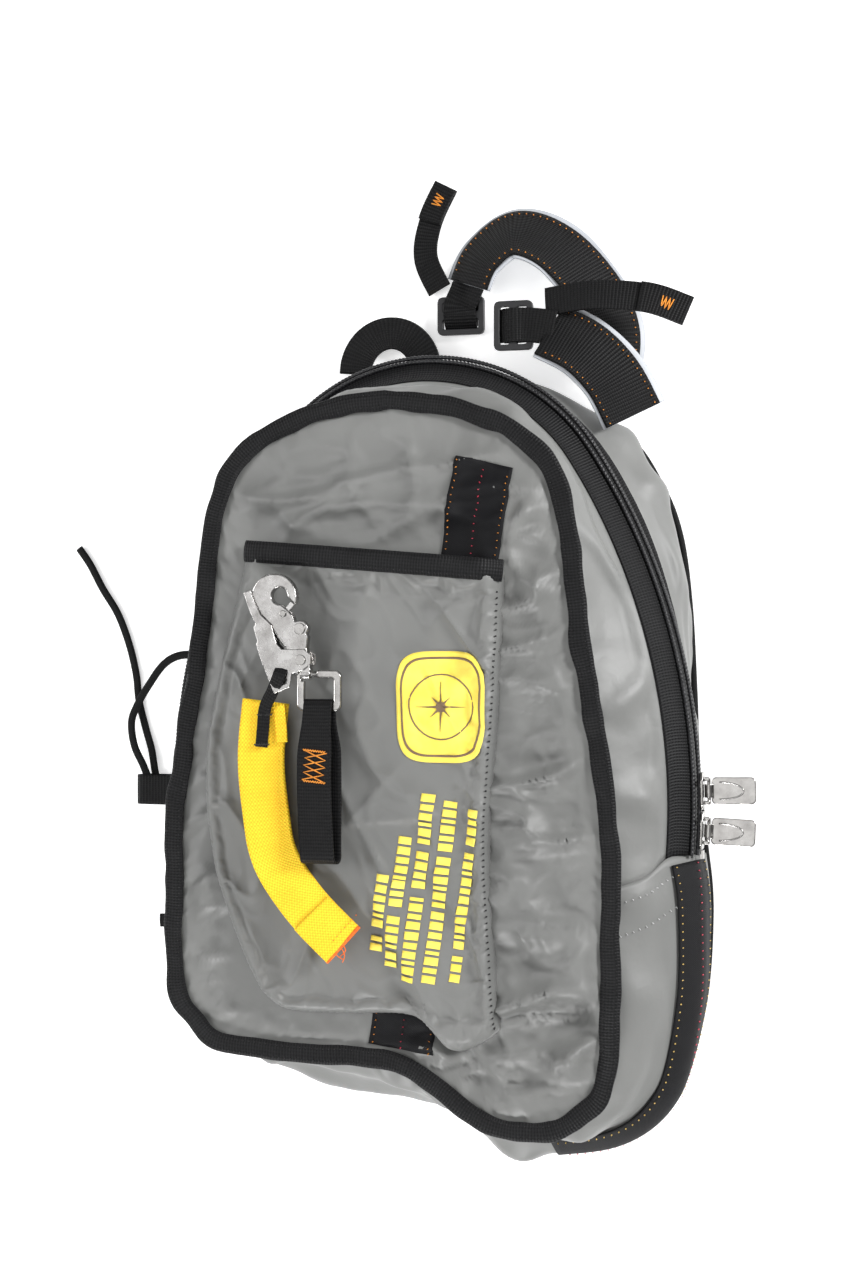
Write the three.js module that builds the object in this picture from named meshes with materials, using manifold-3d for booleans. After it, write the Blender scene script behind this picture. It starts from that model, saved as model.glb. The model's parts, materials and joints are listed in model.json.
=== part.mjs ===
// A zipped nylon flight bag lying on its back: an arched shell, a front flap that opens from the top,
// a loose patch pocket, a release hook on a webbing sling, shoulder straps and a tie tape.
// Units are millimetres. +Z is up, +Y points at the bag's top, +X to its right-hand side.
import * as THREE from 'three';
import { mergeVertices } from 'three/addons/utils/BufferGeometryUtils.js';
import Module from 'manifold-3d';

const wasm = await Module();
wasm.setup();

// ---------------------------------------------------------------- driving dimensions
const GAP = 0.4;                    // air kept between pieces that touch
const CLOTH = 1.2;                  // thickness of a nylon wall
const BACK_Z = 1.2;                 // top of the back cover
const REAR_Z = 25;                  // height of the widest rear outline
const ZIP_Z = 52;                   // middle of the zip
const ZIP_SPLIT = 1;                // half the gap between the two coils
const FRONT_Z = 91;                 // underside of the front panel
const FRONT_SHIFT = -15;            // the slumped front sits this far left of the back
const STATIONS_UPPER = 14;          // outline steps from the top centre to the gusset seam
const STATIONS_LOWER = 10;          // outline steps from the gusset seam to the bottom centre
const SEAM = STATIONS_UPPER;
const HALF = STATIONS_UPPER + STATIONS_LOWER;
const SLUMP = 40;                   // how far the lower right corner sags towards -Y

const ZIP_CENTRE = new THREE.Vector2(-225, -16);
const ZIP_RADIUS = 386;
const ZIP_LOW_ANGLE = -4.5;         // degrees, where the zip meets the gusset seam
const ZIP_HIGH_ANGLE = 33;          // degrees, where the side arc meets the top arc
const SLIDER_LOWER_ANGLE = -2.3;    // degrees along the zip's side arc
const SLIDER_UPPER_ANGLE = 1.1;

const POCKET_TOP_Z = 112;           // outer face of the front pocket
const HOOK_Z = 118.3;               // middle plane of the hook
const HOOK_TURN = 21;               // degrees that the hook leans to the left
const LINK_PLACE = new THREE.Vector2(-33, 60);      // middle of the link's top bar, in the front's own x
const NECK_X = -41;                 // where the hook's neck sits along that bar

const rad = THREE.MathUtils.degToRad;
const group = new THREE.Group();
const front = new THREE.Group();
front.position.x = FRONT_SHIFT;
group.add(front);

// ---------------------------------------------------------------- finishes
const finishes = {
  nylon: { color: 0x77787a, roughness: 0.45, metalness: 0 },
  lining: { color: 0x9b9ea3, roughness: 0.6, metalness: 0 },
  foam: { color: 0x3a3b3d, roughness: 0.95, metalness: 0 },
  webbing: { color: 0x17171a, roughness: 0.8, metalness: 0 },
  coil: { color: 0x0c0c0e, roughness: 0.4, metalness: 0 },
  steel: { color: 0xd5d7da, roughness: 0.25, metalness: 1 },
  yellow: { color: 0xf2c230, roughness: 0.6, metalness: 0 },
  orange: { color: 0xffb014, roughness: 0.75, metalness: 0 },
  plastic: { color: 0x141416, roughness: 0.5, metalness: 0 },
};

// ---------------------------------------------------------------- small helpers
function piece(parent, name, geometry, finish) {
  const mesh = new THREE.Mesh(geometry, new THREE.MeshStandardMaterial(finishes[finish]));
  mesh.name = name;
  parent.add(mesh);
  return mesh;
}

const smooth = (t) => THREE.MathUtils.smoothstep(t, 0, 1);
const ring = (list, index) => list[(index + list.length) % list.length];
const at = (point, z) => new THREE.Vector3(point.x, point.y, z);
const vectors = (pairs) => pairs.map(([x, y]) => new THREE.Vector2(x, y));
const spline = (pairs, steps) => new THREE.SplineCurve(vectors(pairs)).getSpacedPoints(steps);

// The bag has slid down inside its own fabric, so its lower right corner hangs below the left one.
function slump(point) {
  const drop = SLUMP * smooth((point.x + 20) / 85) * smooth((-60 - point.y) / 90);
  return new THREE.Vector2(point.x, point.y - drop);
}

// A closed outline from its right half, which runs from the top centre to the bottom centre.
function outline(upper, lower, shift) {
  const right = [...upper, ...lower.slice(1)];
  const left = right.slice(1, -1).reverse().map((p) => new THREE.Vector2(-p.x, p.y));
  return [...right, ...left].map((p) => slump(new THREE.Vector2(p.x + shift, p.y)));
}

function grow(loop, distance) {
  return loop.map((point, index) => {
    const along = ring(loop, index + 1).clone().sub(ring(loop, index - 1)).normalize();
    return new THREE.Vector2(point.x - along.y * distance, point.y + along.x * distance);
  });
}

function mix(a, b, share) {
  return a.map((point, index) => point.clone().lerp(b[index], share));
}

// The stretch of an outline between two stations, with both ends pulled in a little.
function stretch(loop, from, to) {
  const points = [];
  for (let station = from; station <= to; station += 1) points.push(ring(loop, station).clone());
  const last = points.length - 1;
  points[0].lerp(points[1], GAP / points[0].distanceTo(points[1]));
  points[last].lerp(points[last - 1], GAP / points[last].distanceTo(points[last - 1]));
  return points;
}

// A closed solid skinned over sections. Each section has two rails of equal length.
function skin(sections, closed) {
  const rail = sections[0].outer.length;
  const round = rail * 2;
  const positions = sections.flatMap(({ outer, inner }) => [...outer, ...[...inner].reverse()])
    .flatMap((p) => [p.x, p.y, p.z]);
  const triangles = [];
  const quad = (a, b, c, d) => triangles.push(a, b, c, a, c, d);
  const spans = closed ? sections.length : sections.length - 1;
  for (let span = 0; span < spans; span += 1) {
    const here = span * round;
    const next = ((span + 1) % sections.length) * round;
    for (let k = 0; k < round; k += 1) {
      const l = (k + 1) % round;
      quad(here + k, here + l, next + l, next + k);
    }
  }
  if (!closed) {
    const far = (sections.length - 1) * round;
    for (let k = 0; k + 1 < rail; k += 1) {
      quad(round - 1 - k, round - 2 - k, k + 1, k);
      quad(far + k, far + k + 1, far + round - 2 - k, far + round - 1 - k);
    }
  }
  const geometry = new THREE.BufferGeometry();
  geometry.setAttribute('position', new THREE.Float32BufferAttribute(positions, 3));
  geometry.setIndex(triangles);
  return facingOut(geometry);
}

function facingOut(geometry) {
  const position = geometry.getAttribute('position');
  const index = geometry.getIndex().array;
  const corner = (i) => new THREE.Vector3().fromBufferAttribute(position, index[i]);
  let volume = 0;
  for (let i = 0; i < index.length; i += 3) {
    volume += corner(i).dot(corner(i + 1).cross(corner(i + 2)));
  }
  if (volume < 0) geometry.setIndex([...index].reverse());
  return geometry;
}

// A wall through several levels; each level is { loop, z }.
function wall(levels, thickness, from, to) {
  const full = from === undefined;
  const pick = (loop) => (full ? loop : stretch(loop, from, to));
  const outer = levels.map(({ loop, z }) => pick(loop).map((p) => at(p, z)));
  const inner = levels.map(({ loop, z }) => pick(grow(loop, -thickness)).map((p) => at(p, z)));
  const sections = outer[0].map((_, station) => ({
    outer: outer.map((row) => row[station]),
    inner: inner.map((row) => row[station]),
  }));
  return skin(sections, full);
}

function plate(points, thickness, z) {
  const geometry = new THREE.ExtrudeGeometry(new THREE.Shape(points), { depth: thickness, bevelEnabled: false });
  return geometry.translate(0, 0, z);
}

// A flat band along a path. "across" is the full-width vector and "thick" the thickness vector.
function band(path, across, thick) {
  const sections = path.map((point, index) => {
    const side = (typeof across === 'function' ? across(index) : across).clone().multiplyScalar(0.5);
    const up = typeof thick === 'function' ? thick(index) : thick;
    const left = point.clone().sub(side);
    const right = point.clone().add(side);
    return { outer: [left, right], inner: [left.clone().add(up), right.clone().add(up)] };
  });
  return skin(sections, false);
}

// A webbing strap lying along a path in plan: "tilt" raises its inner edge.
function strap(points, width, thickness, tilt, steps) {
  const curve = new THREE.CatmullRomCurve3(points, false, 'centripetal');
  const path = curve.getSpacedPoints(steps);
  const frame = path.map((_, index) => {
    const along = curve.getTangentAt(index / steps);
    const flat = new THREE.Vector3(along.y, -along.x, 0).normalize();
    const up = new THREE.Vector3(0, 0, 1);
    const across = flat.clone().multiplyScalar(Math.cos(tilt)).addScaledVector(up, Math.sin(tilt));
    const thick = up.clone().multiplyScalar(Math.cos(tilt)).addScaledVector(flat, -Math.sin(tilt));
    return { across: across.multiplyScalar(width), thick: thick.multiplyScalar(thickness) };
  });
  return band(path, (index) => frame[index].across, (index) => frame[index].thick);
}

function toSolid(geometry) {
  const bare = geometry.clone();
  bare.deleteAttribute('normal');
  bare.deleteAttribute('uv');
  const merged = mergeVertices(bare, 1e-4);
  return new wasm.Manifold(new wasm.Mesh({
    numProp: 3,
    vertProperties: new Float32Array(merged.getAttribute('position').array),
    triVerts: new Uint32Array(merged.getIndex().array),
  }));
}

function toGeometry(solid) {
  const mesh = solid.getMesh();
  const geometry = new THREE.BufferGeometry();
  geometry.setAttribute('position', new THREE.Float32BufferAttribute(mesh.vertProperties, 3));
  geometry.setIndex([...mesh.triVerts]);
  return geometry;
}

const join = (first, ...rest) => toGeometry(rest.reduce((sum, g) => sum.add(toSolid(g)), toSolid(first)));
const cut = (first, ...rest) => toGeometry(rest.reduce((sum, g) => sum.subtract(toSolid(g)), toSolid(first)));

function rod(radius, length, axis, x, y, z, sides = 16) {
  const geometry = new THREE.CylinderGeometry(radius, radius, length, sides);
  if (axis === 'x') geometry.rotateZ(Math.PI / 2);
  if (axis === 'z') geometry.rotateX(Math.PI / 2);
  return geometry.translate(x, y, z);
}

const points3 = (triples) => triples.map(([x, y, z]) => new THREE.Vector3(x, y, z));
const block = (w, h, d, x, y, z) => new THREE.BoxGeometry(w, h, d).translate(x, y, z);

function slab(pairs, depth, z) {
  return plate(vectors(pairs), depth, z);
}

function roundedRectangle(width, height, radius) {
  const shape = new THREE.Shape();
  const [w, h] = [width / 2, height / 2];
  shape.moveTo(-w + radius, -h);
  shape.lineTo(w - radius, -h);
  shape.absarc(w - radius, -h + radius, radius, -Math.PI / 2, 0, false);
  shape.absarc(w - radius, h - radius, radius, 0, Math.PI / 2, false);
  shape.absarc(-w + radius, h - radius, radius, Math.PI / 2, Math.PI, false);
  shape.absarc(-w + radius, -h + radius, radius, Math.PI, Math.PI * 1.5, false);
  return shape;
}

// ---------------------------------------------------------------- outlines of the bag
function zipUpper() {
  const top = ZIP_RADIUS * Math.cos(rad(ZIP_HIGH_ANGLE)) + ZIP_CENTRE.x;
  const topRadius = top / Math.cos(rad(ZIP_HIGH_ANGLE));
  const topCentreY = ZIP_CENTRE.y + (ZIP_RADIUS - topRadius) * Math.sin(rad(ZIP_HIGH_ANGLE));
  const path = new THREE.Path();
  path.absarc(0, topCentreY, topRadius, Math.PI / 2, rad(ZIP_HIGH_ANGLE), true);
  path.absarc(ZIP_CENTRE.x, ZIP_CENTRE.y, ZIP_RADIUS, rad(ZIP_HIGH_ANGLE), rad(ZIP_LOW_ANGLE), true);
  return path.getSpacedPoints(STATIONS_UPPER);
}

const zipLine = outline(
  zipUpper(),
  spline([[159.8, -46.3], [164, -76], [163, -110], [150, -148], [120, -176], [60, -189], [0, -191]], STATIONS_LOWER),
  0,
);
const rearLine = outline(
  spline([[0, 248], [40, 243], [75, 232], [116, 207], [137, 177], [149, 146], [155, 104], [158, 50], [160, 0],
    [165, -48]], STATIONS_UPPER),
  spline([[165, -48], [168, -80], [164, -115], [150, -146], [128, -166], [95, -183], [50, -191], [0, -192]],
    STATIONS_LOWER),
  0,
);
const frontLine = outline(
  spline([[0, 222], [50, 214], [92, 190], [106, 161], [112, 129], [118, 74], [128, 15], [134, -30], [134.5, -63]],
    STATIONS_UPPER),
  spline([[134.5, -63], [133, -127], [121, -150], [93, -165], [0, -167]], STATIONS_LOWER),
  FRONT_SHIFT,
);
const backLine = grow(rearLine, -6);
const gussetLine = grow(mix(zipLine, frontLine, 0.55), 4);

// ---------------------------------------------------------------- shell
function addBack() {
  piece(group, 'back_cover', plate(backLine, BACK_Z, 0), 'nylon');
  piece(group, 'back_foam', plate(grow(backLine, -7), 5, BACK_Z + GAP), 'foam');
  piece(group, 'inner_liner', plate(grow(backLine, -6.5), 0.8, BACK_Z + 5 + 2 * GAP), 'lining');
  const piping = grow(backLine, 4.4);
  piece(group, 'rear_piping', wall([{ loop: piping, z: 0.2 }, { loop: piping, z: 4.6 }], 4), 'webbing');
}

function addRearGusset() {
  const levels = [
    { loop: grow(backLine, -0.5), z: BACK_Z + GAP },
    { loop: grow(backLine, -0.5), z: 5 },
    { loop: rearLine, z: REAR_Z },
    { loop: zipLine, z: 40 - GAP },
  ];
  piece(group, 'rear_gusset', wall(levels, CLOTH, -SEAM, SEAM), 'nylon');
}

function addLowerGusset() {
  const levels = [
    { loop: grow(backLine, -0.5), z: BACK_Z + GAP },
    { loop: grow(backLine, -0.5), z: 5 },
    { loop: rearLine, z: REAR_Z },
    { loop: zipLine, z: ZIP_Z },
    { loop: gussetLine, z: 76 },
    { loop: frontLine, z: FRONT_Z - GAP },
  ];
  piece(group, 'lower_gusset', wall(levels, CLOTH, SEAM, 2 * HALF - SEAM), 'nylon');
}

// The stripe runs down the lower side, centred on the zip's own line.
function addSideStripe(name, from, to) {
  const proud = (loop) => grow(loop, 3.4);
  const levels = [
    { loop: proud(mix(rearLine, zipLine, 0.5)), z: 38 },
    { loop: proud(zipLine), z: ZIP_Z },
    { loop: proud(mix(zipLine, gussetLine, 0.5)), z: 64 },
  ];
  piece(group, name, wall(levels, 1.6, from, to), 'webbing');
}

// ---------------------------------------------------------------- zip
function addZipSide(parent, offset, tapeName, coilName, tapeZ, coilZ) {
  const tape = grow(zipLine, 1.6).map((p) => p.clone().setX(p.x - offset));
  const coil = grow(zipLine, 4.4).map((p) => p.clone().setX(p.x - offset));
  const rows = (loop, [low, high]) => [{ loop, z: low }, { loop, z: high }];
  piece(parent, tapeName, wall(rows(tape, tapeZ), 1, -SEAM, SEAM), 'webbing');
  piece(parent, coilName, wall(rows(coil, coilZ), 2.4, -SEAM, SEAM), 'coil');
}

function addZipStop(name, side) {
  const angle = rad(ZIP_LOW_ANGLE + 0.1);
  const reach = ZIP_RADIUS + 6;
  const x = side * (ZIP_CENTRE.x + reach * Math.cos(angle));
  const y = ZIP_CENTRE.y + reach * Math.sin(angle);
  piece(group, name, block(2, 5, 4.4, x, y, 48.6), 'steel');
}

// A slider in its own frame: +X away from the bag, +Y along the zip.
function sliderGeometry() {
  const face = new THREE.Shape(vectors([[-6, -8], [-3.5, -11], [3.5, -11], [6, -8], [6, 6], [4, 11], [-4, 11], [-6, 6]]));
  const cover = (x, depth) => new THREE.ExtrudeGeometry(face, { depth, bevelEnabled: false })
    .rotateY(Math.PI / 2).translate(x, 0, 0);
  const post = block(9, 3, 1.3, 1, 4, 0);
  const foot = (y) => block(4, 2.2, 3, 8, y, 0);
  const bar = rod(1.1, 16.2, 'y', 9.4, 0, 0, 12);
  return join(cover(5, 1.6), cover(-3.2, 1.2), post, foot(-7), foot(7), bar);
}

function pullGeometry() {
  const shape = roundedRectangle(26, 16, 3);
  const leaf = new THREE.ExtrudeGeometry(shape, { depth: 1.6, bevelEnabled: false }).translate(14.5, 0, -0.8);
  const barrel = rod(2.7, 8, 'y', 0, 0, 0);
  return cut(join(leaf, barrel), rod(1.6, 9, 'y', 0, 0, 0));
}

function addSlider(name, angle) {
  const turn = new THREE.Group();
  turn.position.set(ZIP_CENTRE.x, ZIP_CENTRE.y, ZIP_Z);
  turn.rotation.z = rad(angle);
  group.add(turn);
  piece(turn, name, sliderGeometry(), 'steel').position.x = ZIP_RADIUS;
  const pull = piece(turn, name.replace('slider', 'pull'), pullGeometry(), 'steel');
  pull.position.x = ZIP_RADIUS + 9.4;
}

// ---------------------------------------------------------------- front flap
function addFront() {
  const inFront = (loop) => loop.map((p) => new THREE.Vector2(p.x - FRONT_SHIFT, p.y));
  piece(front, 'front_panel', plate(inFront(frontLine), CLOTH, FRONT_Z), 'nylon');
  const edge = inFront(grow(frontLine, 6));
  const bindingZ = FRONT_Z + CLOTH + GAP;
  piece(front, 'front_binding', wall([{ loop: edge, z: bindingZ }, { loop: edge, z: bindingZ + 2.6 }], 12), 'webbing');
  const levels = [
    { loop: inFront(zipLine), z: 62 + GAP },
    { loop: inFront(gussetLine), z: 76 },
    { loop: inFront(frontLine), z: FRONT_Z - GAP },
  ];
  piece(front, 'front_gusset', wall(levels, CLOTH, -SEAM, SEAM), 'nylon');
  addZipSide(front, FRONT_SHIFT, 'front_zip_tape', 'front_coil', [ZIP_Z + ZIP_SPLIT, 62], [ZIP_Z + ZIP_SPLIT, 56.6]);
  const stripe = [[-11, -159], [29, -164], [83, 172], [74, 188], [48, 188]];
  piece(front, 'front_stripe', slab(stripe, 1.4, bindingZ), 'webbing');
}

const pocketEdge = {
  left: [[-84, 139], [-99, 80], [-110, 30], [-112, -16], [-104, -66], [-87, -110], [-72, -134]],
  bottom: [[-56, -141], [-20, -141], [11, -140], [26, -145], [42, -160], [59, -155], [70, -146]],
  right: [[67, -100], [64, -50], [65, -12], [69, 45], [73, 126]],
};

function addPocket() {
  const edge = [...spline(pocketEdge.left, 9), ...spline(pocketEdge.bottom, 7), ...spline(pocketEdge.right, 6)];
  const floor = FRONT_Z + CLOTH + 1.4 + 2 * GAP;
  const rise = POCKET_TOP_Z - floor;
  const shell = plate(edge, rise, floor);
  const hollow = vectors(edge.map(({ x, y }) => [x * 0.975 - 0.4, y < 100 ? y * 0.978 + 0.3 : y + 9]));
  const pocket = cut(shell, plate(hollow, rise - 2 * CLOTH, floor + CLOTH));
  piece(front, 'front_pocket', pocket, 'nylon');
  const mouth = [[-84.6, 139.6], [-87, 127], [73.4, 114], [73.6, 126.6]];
  piece(front, 'pocket_binding', slab(mouth, 1.2, POCKET_TOP_Z + GAP), 'webbing');
  const badge = new THREE.ExtrudeGeometry(roundedRectangle(54, 66, 16), { depth: 0.8, bevelEnabled: false });
  piece(front, 'emblem_patch', badge, 'yellow').position.set(36, 41, POCKET_TOP_Z + GAP);
}

// ---------------------------------------------------------------- hook group on the front pocket
const SLING_LOW_Y = -46;            // middle of the sling's lower fold
const LINK_HEIGHT = 19;             // between the link's top and bottom bars
const LINK_WIDTH = 27;
const LINK_LOW_Y = LINK_PLACE.y - LINK_HEIGHT;

function addSling() {
  const inner = 3.4;
  const path = [];
  const half = (y) => THREE.MathUtils.mapLinear(Math.min(y, 20), 20, SLING_LOW_Y, 8.1, 10.5);
  const fold = (y, from) => {
    for (let step = 0; step <= 6; step += 1) path.push({ y, turn: from + (Math.PI * step) / 6 });
  };
  fold(LINK_LOW_Y, 0);
  path.push({ y: 5, turn: Math.PI });
  fold(SLING_LOW_Y, Math.PI);
  path.push({ y: 5, turn: 2 * Math.PI });
  const corner = (node, radius, side) => new THREE.Vector3(
    LINK_PLACE.x + side * half(node.y),
    node.y + radius * Math.sin(node.turn),
    HOOK_Z + radius * Math.cos(node.turn),
  );
  const sections = path.map((node) => ({
    outer: [corner(node, inner + 1.6, -1), corner(node, inner + 1.6, 1)],
    inner: [corner(node, inner, -1), corner(node, inner, 1)],
  }));
  piece(front, 'sling', skin(sections, true), 'webbing');
}

function addLink() {
  const y = (LINK_PLACE.y + LINK_LOW_Y) / 2;
  const ringShape = roundedRectangle(LINK_WIDTH, LINK_HEIGHT + 5, 4);
  ringShape.holes.push(new THREE.Path(roundedRectangle(LINK_WIDTH - 9, LINK_HEIGHT - 4.4, 2).getPoints(4)));
  const frame = new THREE.ExtrudeGeometry(ringShape, { depth: 3.6, bevelEnabled: false, curveSegments: 4 })
    .translate(LINK_PLACE.x, y, HOOK_Z - 1.8);
  const opened = cut(frame, block(10, 8, 8, NECK_X + 2, LINK_PLACE.y, HOOK_Z));
  const bar = rod(1.8, 14, 'x', NECK_X + 2, LINK_PLACE.y, HOOK_Z);
  piece(front, 'square_link', join(opened, bar), 'steel');
}

const hook = new THREE.Group();
hook.position.set(NECK_X, LINK_PLACE.y, HOOK_Z);
hook.rotation.z = rad(HOOK_TURN);
front.add(hook);

const KEEPER_PIVOT = [0, 38];
const LEVER_PIVOT = [1, 8.5];
const BOSS = [6.5, 26];
const KEEPER_REACH = 8.4;
const KEEPER_ANGLE = 27;

function addHookBody() {
  const head = rod(14, 6, 'z', -2, 49, 0, 32);
  const shank = slab([[-13, 42], [-5.4, 17], [-3.6, 0], [3.6, 0], [6.4, 14], [9.5, 20], [5, 31], [5, 42]], 6, -3);
  const boss = rod(5, 6, 'z', ...BOSS, 0, 20);
  const neck = rod(3.3, 6, 'x', 0, 0, 0).rotateZ(rad(-HOOK_TURN));
  const bore = rod(2.15, 12, 'x', 0, 0, 0).rotateZ(rad(-HOOK_TURN));
  const throat = rod(5, 8, 'z', 1.5, 48.5, 0, 20);
  const mouth = block(6, 16, 8, 0, -8, 0).rotateZ(rad(KEEPER_ANGLE)).translate(1.5, 48.5, 0);
  const slot = rod(6, 3.4, 'z', ...KEEPER_PIVOT, 0, 20);
  const barSpace = rod(3.15, 20, 'x', 0, 0, 0, 24).rotateZ(rad(-HOOK_TURN));
  const cheeks = block(5.4, 9, 9, 0, 0, 0).rotateZ(rad(-HOOK_TURN));
  const sideSpace = cut(barSpace, cheeks);
  const holes = [rod(1.3, 9, 'z', ...KEEPER_PIVOT, 0), rod(2.1, 9, 'z', ...LEVER_PIVOT, 0), rod(2.4, 9, 'z', ...BOSS, 0)];
  const solid = cut(join(head, shank, boss, neck), throat, mouth, slot, bore, sideSpace, ...holes);
  piece(hook, 'hook_body', solid, 'steel');
}

function rivet(radius, headRadius, halfLength, head) {
  const cap = (z) => rod(headRadius, head, 'z', 0, 0, z);
  return join(rod(radius, 2 * halfLength, 'z', 0, 0, 0), cap(halfLength), cap(-halfLength));
}

function addKeeper() {
  const arm = block(KEEPER_REACH, 3, 2.6, KEEPER_REACH / 2, 0, 0);
  const eye = rod(2.4, 2.6, 'z', 0, 0, 0);
  const keeper = cut(join(arm, eye), rod(1.3, 4, 'z', 0, 0, 0)).rotateZ(rad(KEEPER_ANGLE));
  piece(hook, 'keeper', keeper, 'steel').position.set(...KEEPER_PIVOT, 0);
  piece(hook, 'keeper_pin', rivet(1, 2, 3.6, 0.6), 'steel').position.set(...KEEPER_PIVOT, 0);
  piece(hook, 'boss_rivet', rivet(2.1, 3.4, 3.8, 1), 'steel').position.set(...BOSS, 0);
}

const SLOT_BAR = [-15.5, -2.5, 4.3];     // middle of the bar that the pull tab's strip goes round

function addLever() {
  const left = [[-18, 58], [-18.2, 45], [-17.6, 38], [-19.4, 37], [-20.2, 28], [-21.4, 27], [-22, 18], [-21.4, -4]];
  const flange = [...left, [-11, -4], [-7, 3], [0, 2.6], [6, 4], [8, 9], [5, 14], [-1, 16], [-7.8, 18.7],
    [-9.5, 23], [-8.5, 34], [-12.5, 42], [-13.5, 50], [-13.5, 58]];
  const web = [...left.slice(0, -1), ...[...left.slice(0, -1)].reverse().map(([x, y]) => [x + 1.3, y])];
  const channel = join(slab(flange, 1.2, 3.7), slab(flange, 1.2, -4.9), slab(web, 8.8, -4.4));
  const slot = block(8.4, 3.4, 3, SLOT_BAR[0], SLOT_BAR[1] + 3.2, SLOT_BAR[2]);
  const openEnd = block(16, 12, 9, -16.5, 0.5, -1);
  const lever = cut(channel, slot, openEnd, rod(2.1, 12, 'z', ...LEVER_PIVOT, 0));
  piece(hook, 'release_lever', lever, 'steel');
  piece(hook, 'lever_pin', rivet(1.8, 3.2, 5.6, 0.8), 'steel').position.set(...LEVER_PIVOT, 0);
  const leaf = spline([[-16, 33], [-14.6, 28], [-15.2, 22], [-18.6, 18]], 6).map((p) => at(p, -2));
  piece(hook, 'lever_spring', band(leaf, new THREE.Vector3(0.6, 0, 0), new THREE.Vector3(0, 0, 4)), 'steel');
}

// The pull tab lies on the pocket and hangs from the lever's slotted end.
const tabPath = [[-68, 43], [-71, 10], [-68, -22], [-62, -49], [-44, -75], [-20, -98]];

function addTab() {
  const z = POCKET_TOP_Z + GAP;
  const flat = tabPath.map(([x, y]) => new THREE.Vector3(x, y, z));
  piece(front, 'pull_tab', strap(flat, 29, 2.4, 0, 12), 'orange');
  const eye = new THREE.Vector3(...SLOT_BAR).applyAxisAngle(new THREE.Vector3(0, 0, 1), rad(HOOK_TURN))
    .add(hook.position);
  const low = z + 2.4 + GAP;
  const tongue = points3([[-70, 16, low], [-67, 36, low], [eye.x - 1.2, eye.y - 3.5, low + 3], [eye.x, eye.y - 0.4, eye.z - 3]]);
  const loop = cut(rod(3.1, 7, 'x', 0, 0, 0), rod(2.1, 8, 'x', 0, 0, 0))
    .rotateZ(rad(HOOK_TURN)).translate(eye.x, eye.y, eye.z);
  piece(front, 'tab_strip', join(strap(tongue, 7, 1, 0, 8), loop), 'webbing');
}

// ---------------------------------------------------------------- straps and handle
function addHandle() {
  const arch = new THREE.EllipseCurve(0, 249, 24, 26, 0, Math.PI, false).getSpacedPoints(12);
  const path = arch.map((p) => new THREE.Vector3(p.x - 37, p.y, 4.2));
  piece(group, 'grab_handle', strap(path, 20, 3.4, rad(8), 12), 'webbing');
}

// A plastic adjuster: a rectangular frame with two windows, lying flat.
function ladderLock(name, x, y, z, turn) {
  const shape = roundedRectangle(30, 24, 3);
  for (const row of [-5.4, 5.4]) {
    const window = roundedRectangle(23, 6, 1).getPoints(2).map((p) => new THREE.Vector2(p.x, p.y + row));
    shape.holes.push(new THREE.Path(window));
  }
  const geometry = new THREE.ExtrudeGeometry(shape, { depth: 4, bevelEnabled: false, curveSegments: 2 });
  const lock = piece(group, name, geometry, 'plastic');
  lock.position.set(x, y, z);
  lock.rotation.z = rad(turn);
}

function addStraps() {
  const left = [[103, 249, 11.6], [104, 270, 11.6], [94, 294, 11.6], [71, 320, 11.6], [45, 331, 11.6], [25, 318, 11.6],
    [17, 301, 11.6]];
  piece(group, 'shoulder_strap_left', strap(points3(left), 38, 4, rad(-35), 18), 'webbing');
  ladderLock('ladder_lock_left', 8, 284, 3, 0);
  const leftTail = [[-6, 301, 4], [-15, 322, 4], [-12, 344, 4], [-1, 366, 5]];
  piece(group, 'webbing_tail_left', strap(points3(leftTail), 16, 1.4, rad(10), 8), 'webbing');
  const right = [[122, 214, 36], [110, 237, 38], [93, 255, 40], [72, 266, 40]];
  piece(group, 'shoulder_strap_right', strap(points3(right), 38, 4, rad(-25), 10), 'webbing');
  ladderLock('ladder_lock_right', 50, 271, 38, 90);
  const rightTail = [[70, 284, 40], [101, 287, 42], [132, 284, 40], [156, 275, 38]];
  piece(group, 'webbing_tail_right', strap(points3(rightTail), 18, 1.4, rad(12), 8), 'webbing');
}

// ---------------------------------------------------------------- left side
function addSideLoop() {
  const outer = [[-168.4, 0.3], [-203, 0.3], [-206, 1.4], [-209, 4], [-210, 8], [-209, 12], [-206, 14.6], [-203, 15.7], [-168.4, 15.7]];
  const inner = [[-168.4, 14.2], [-203, 14.2], [-207, 11.5], [-208.4, 8], [-207, 4.4], [-203, 1.8], [-168.4, 1.8]];
  const geometry = new THREE.ExtrudeGeometry(new THREE.Shape(vectors([...outer, ...inner])), { depth: 19, bevelEnabled: false });
  piece(group, 'side_loop', geometry.rotateX(Math.PI / 2), 'webbing').position.y = -8;
  piece(group, 'lower_tab', block(26, 8, 1.6, -182.4, -103, 7), 'webbing');
}

// Tapes that lie free: a tube along each hand-laid route.
const FREE_TAPE = [[-198, -13, 5], [-200, -5, 4.6], [-203, 8, 2.8], [-207, 21, 2.5], [-212, 40, 2.5], [-214, 57, 2.5],
  [-219, 77, 2.5], [-227, 97, 2.5], [-238, 114, 2.5], [-247, 130, 2.5], [-255, 141, 2.5]];
const SIDE_TAPE = [[-164, 70, 9], [-180, 70, 9], [-192, 64, 8.6], [-203, 50, 8.2], [-211, 37, 8], [-215, 26, 8],
  [-213, 11, 8.2], [-206.4, -2, 8.8], [-202, -12, 9]];

function addTape(name, route, steps) {
  const section = new THREE.Shape(new THREE.EllipseCurve(0, 0, 2.2, 2.2).getPoints(8).slice(0, 8));
  const extrudePath = new THREE.CatmullRomCurve3(points3(route), false, 'centripetal');
  piece(group, name, new THREE.ExtrudeGeometry(section, { steps, extrudePath }), 'webbing');
}

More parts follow.
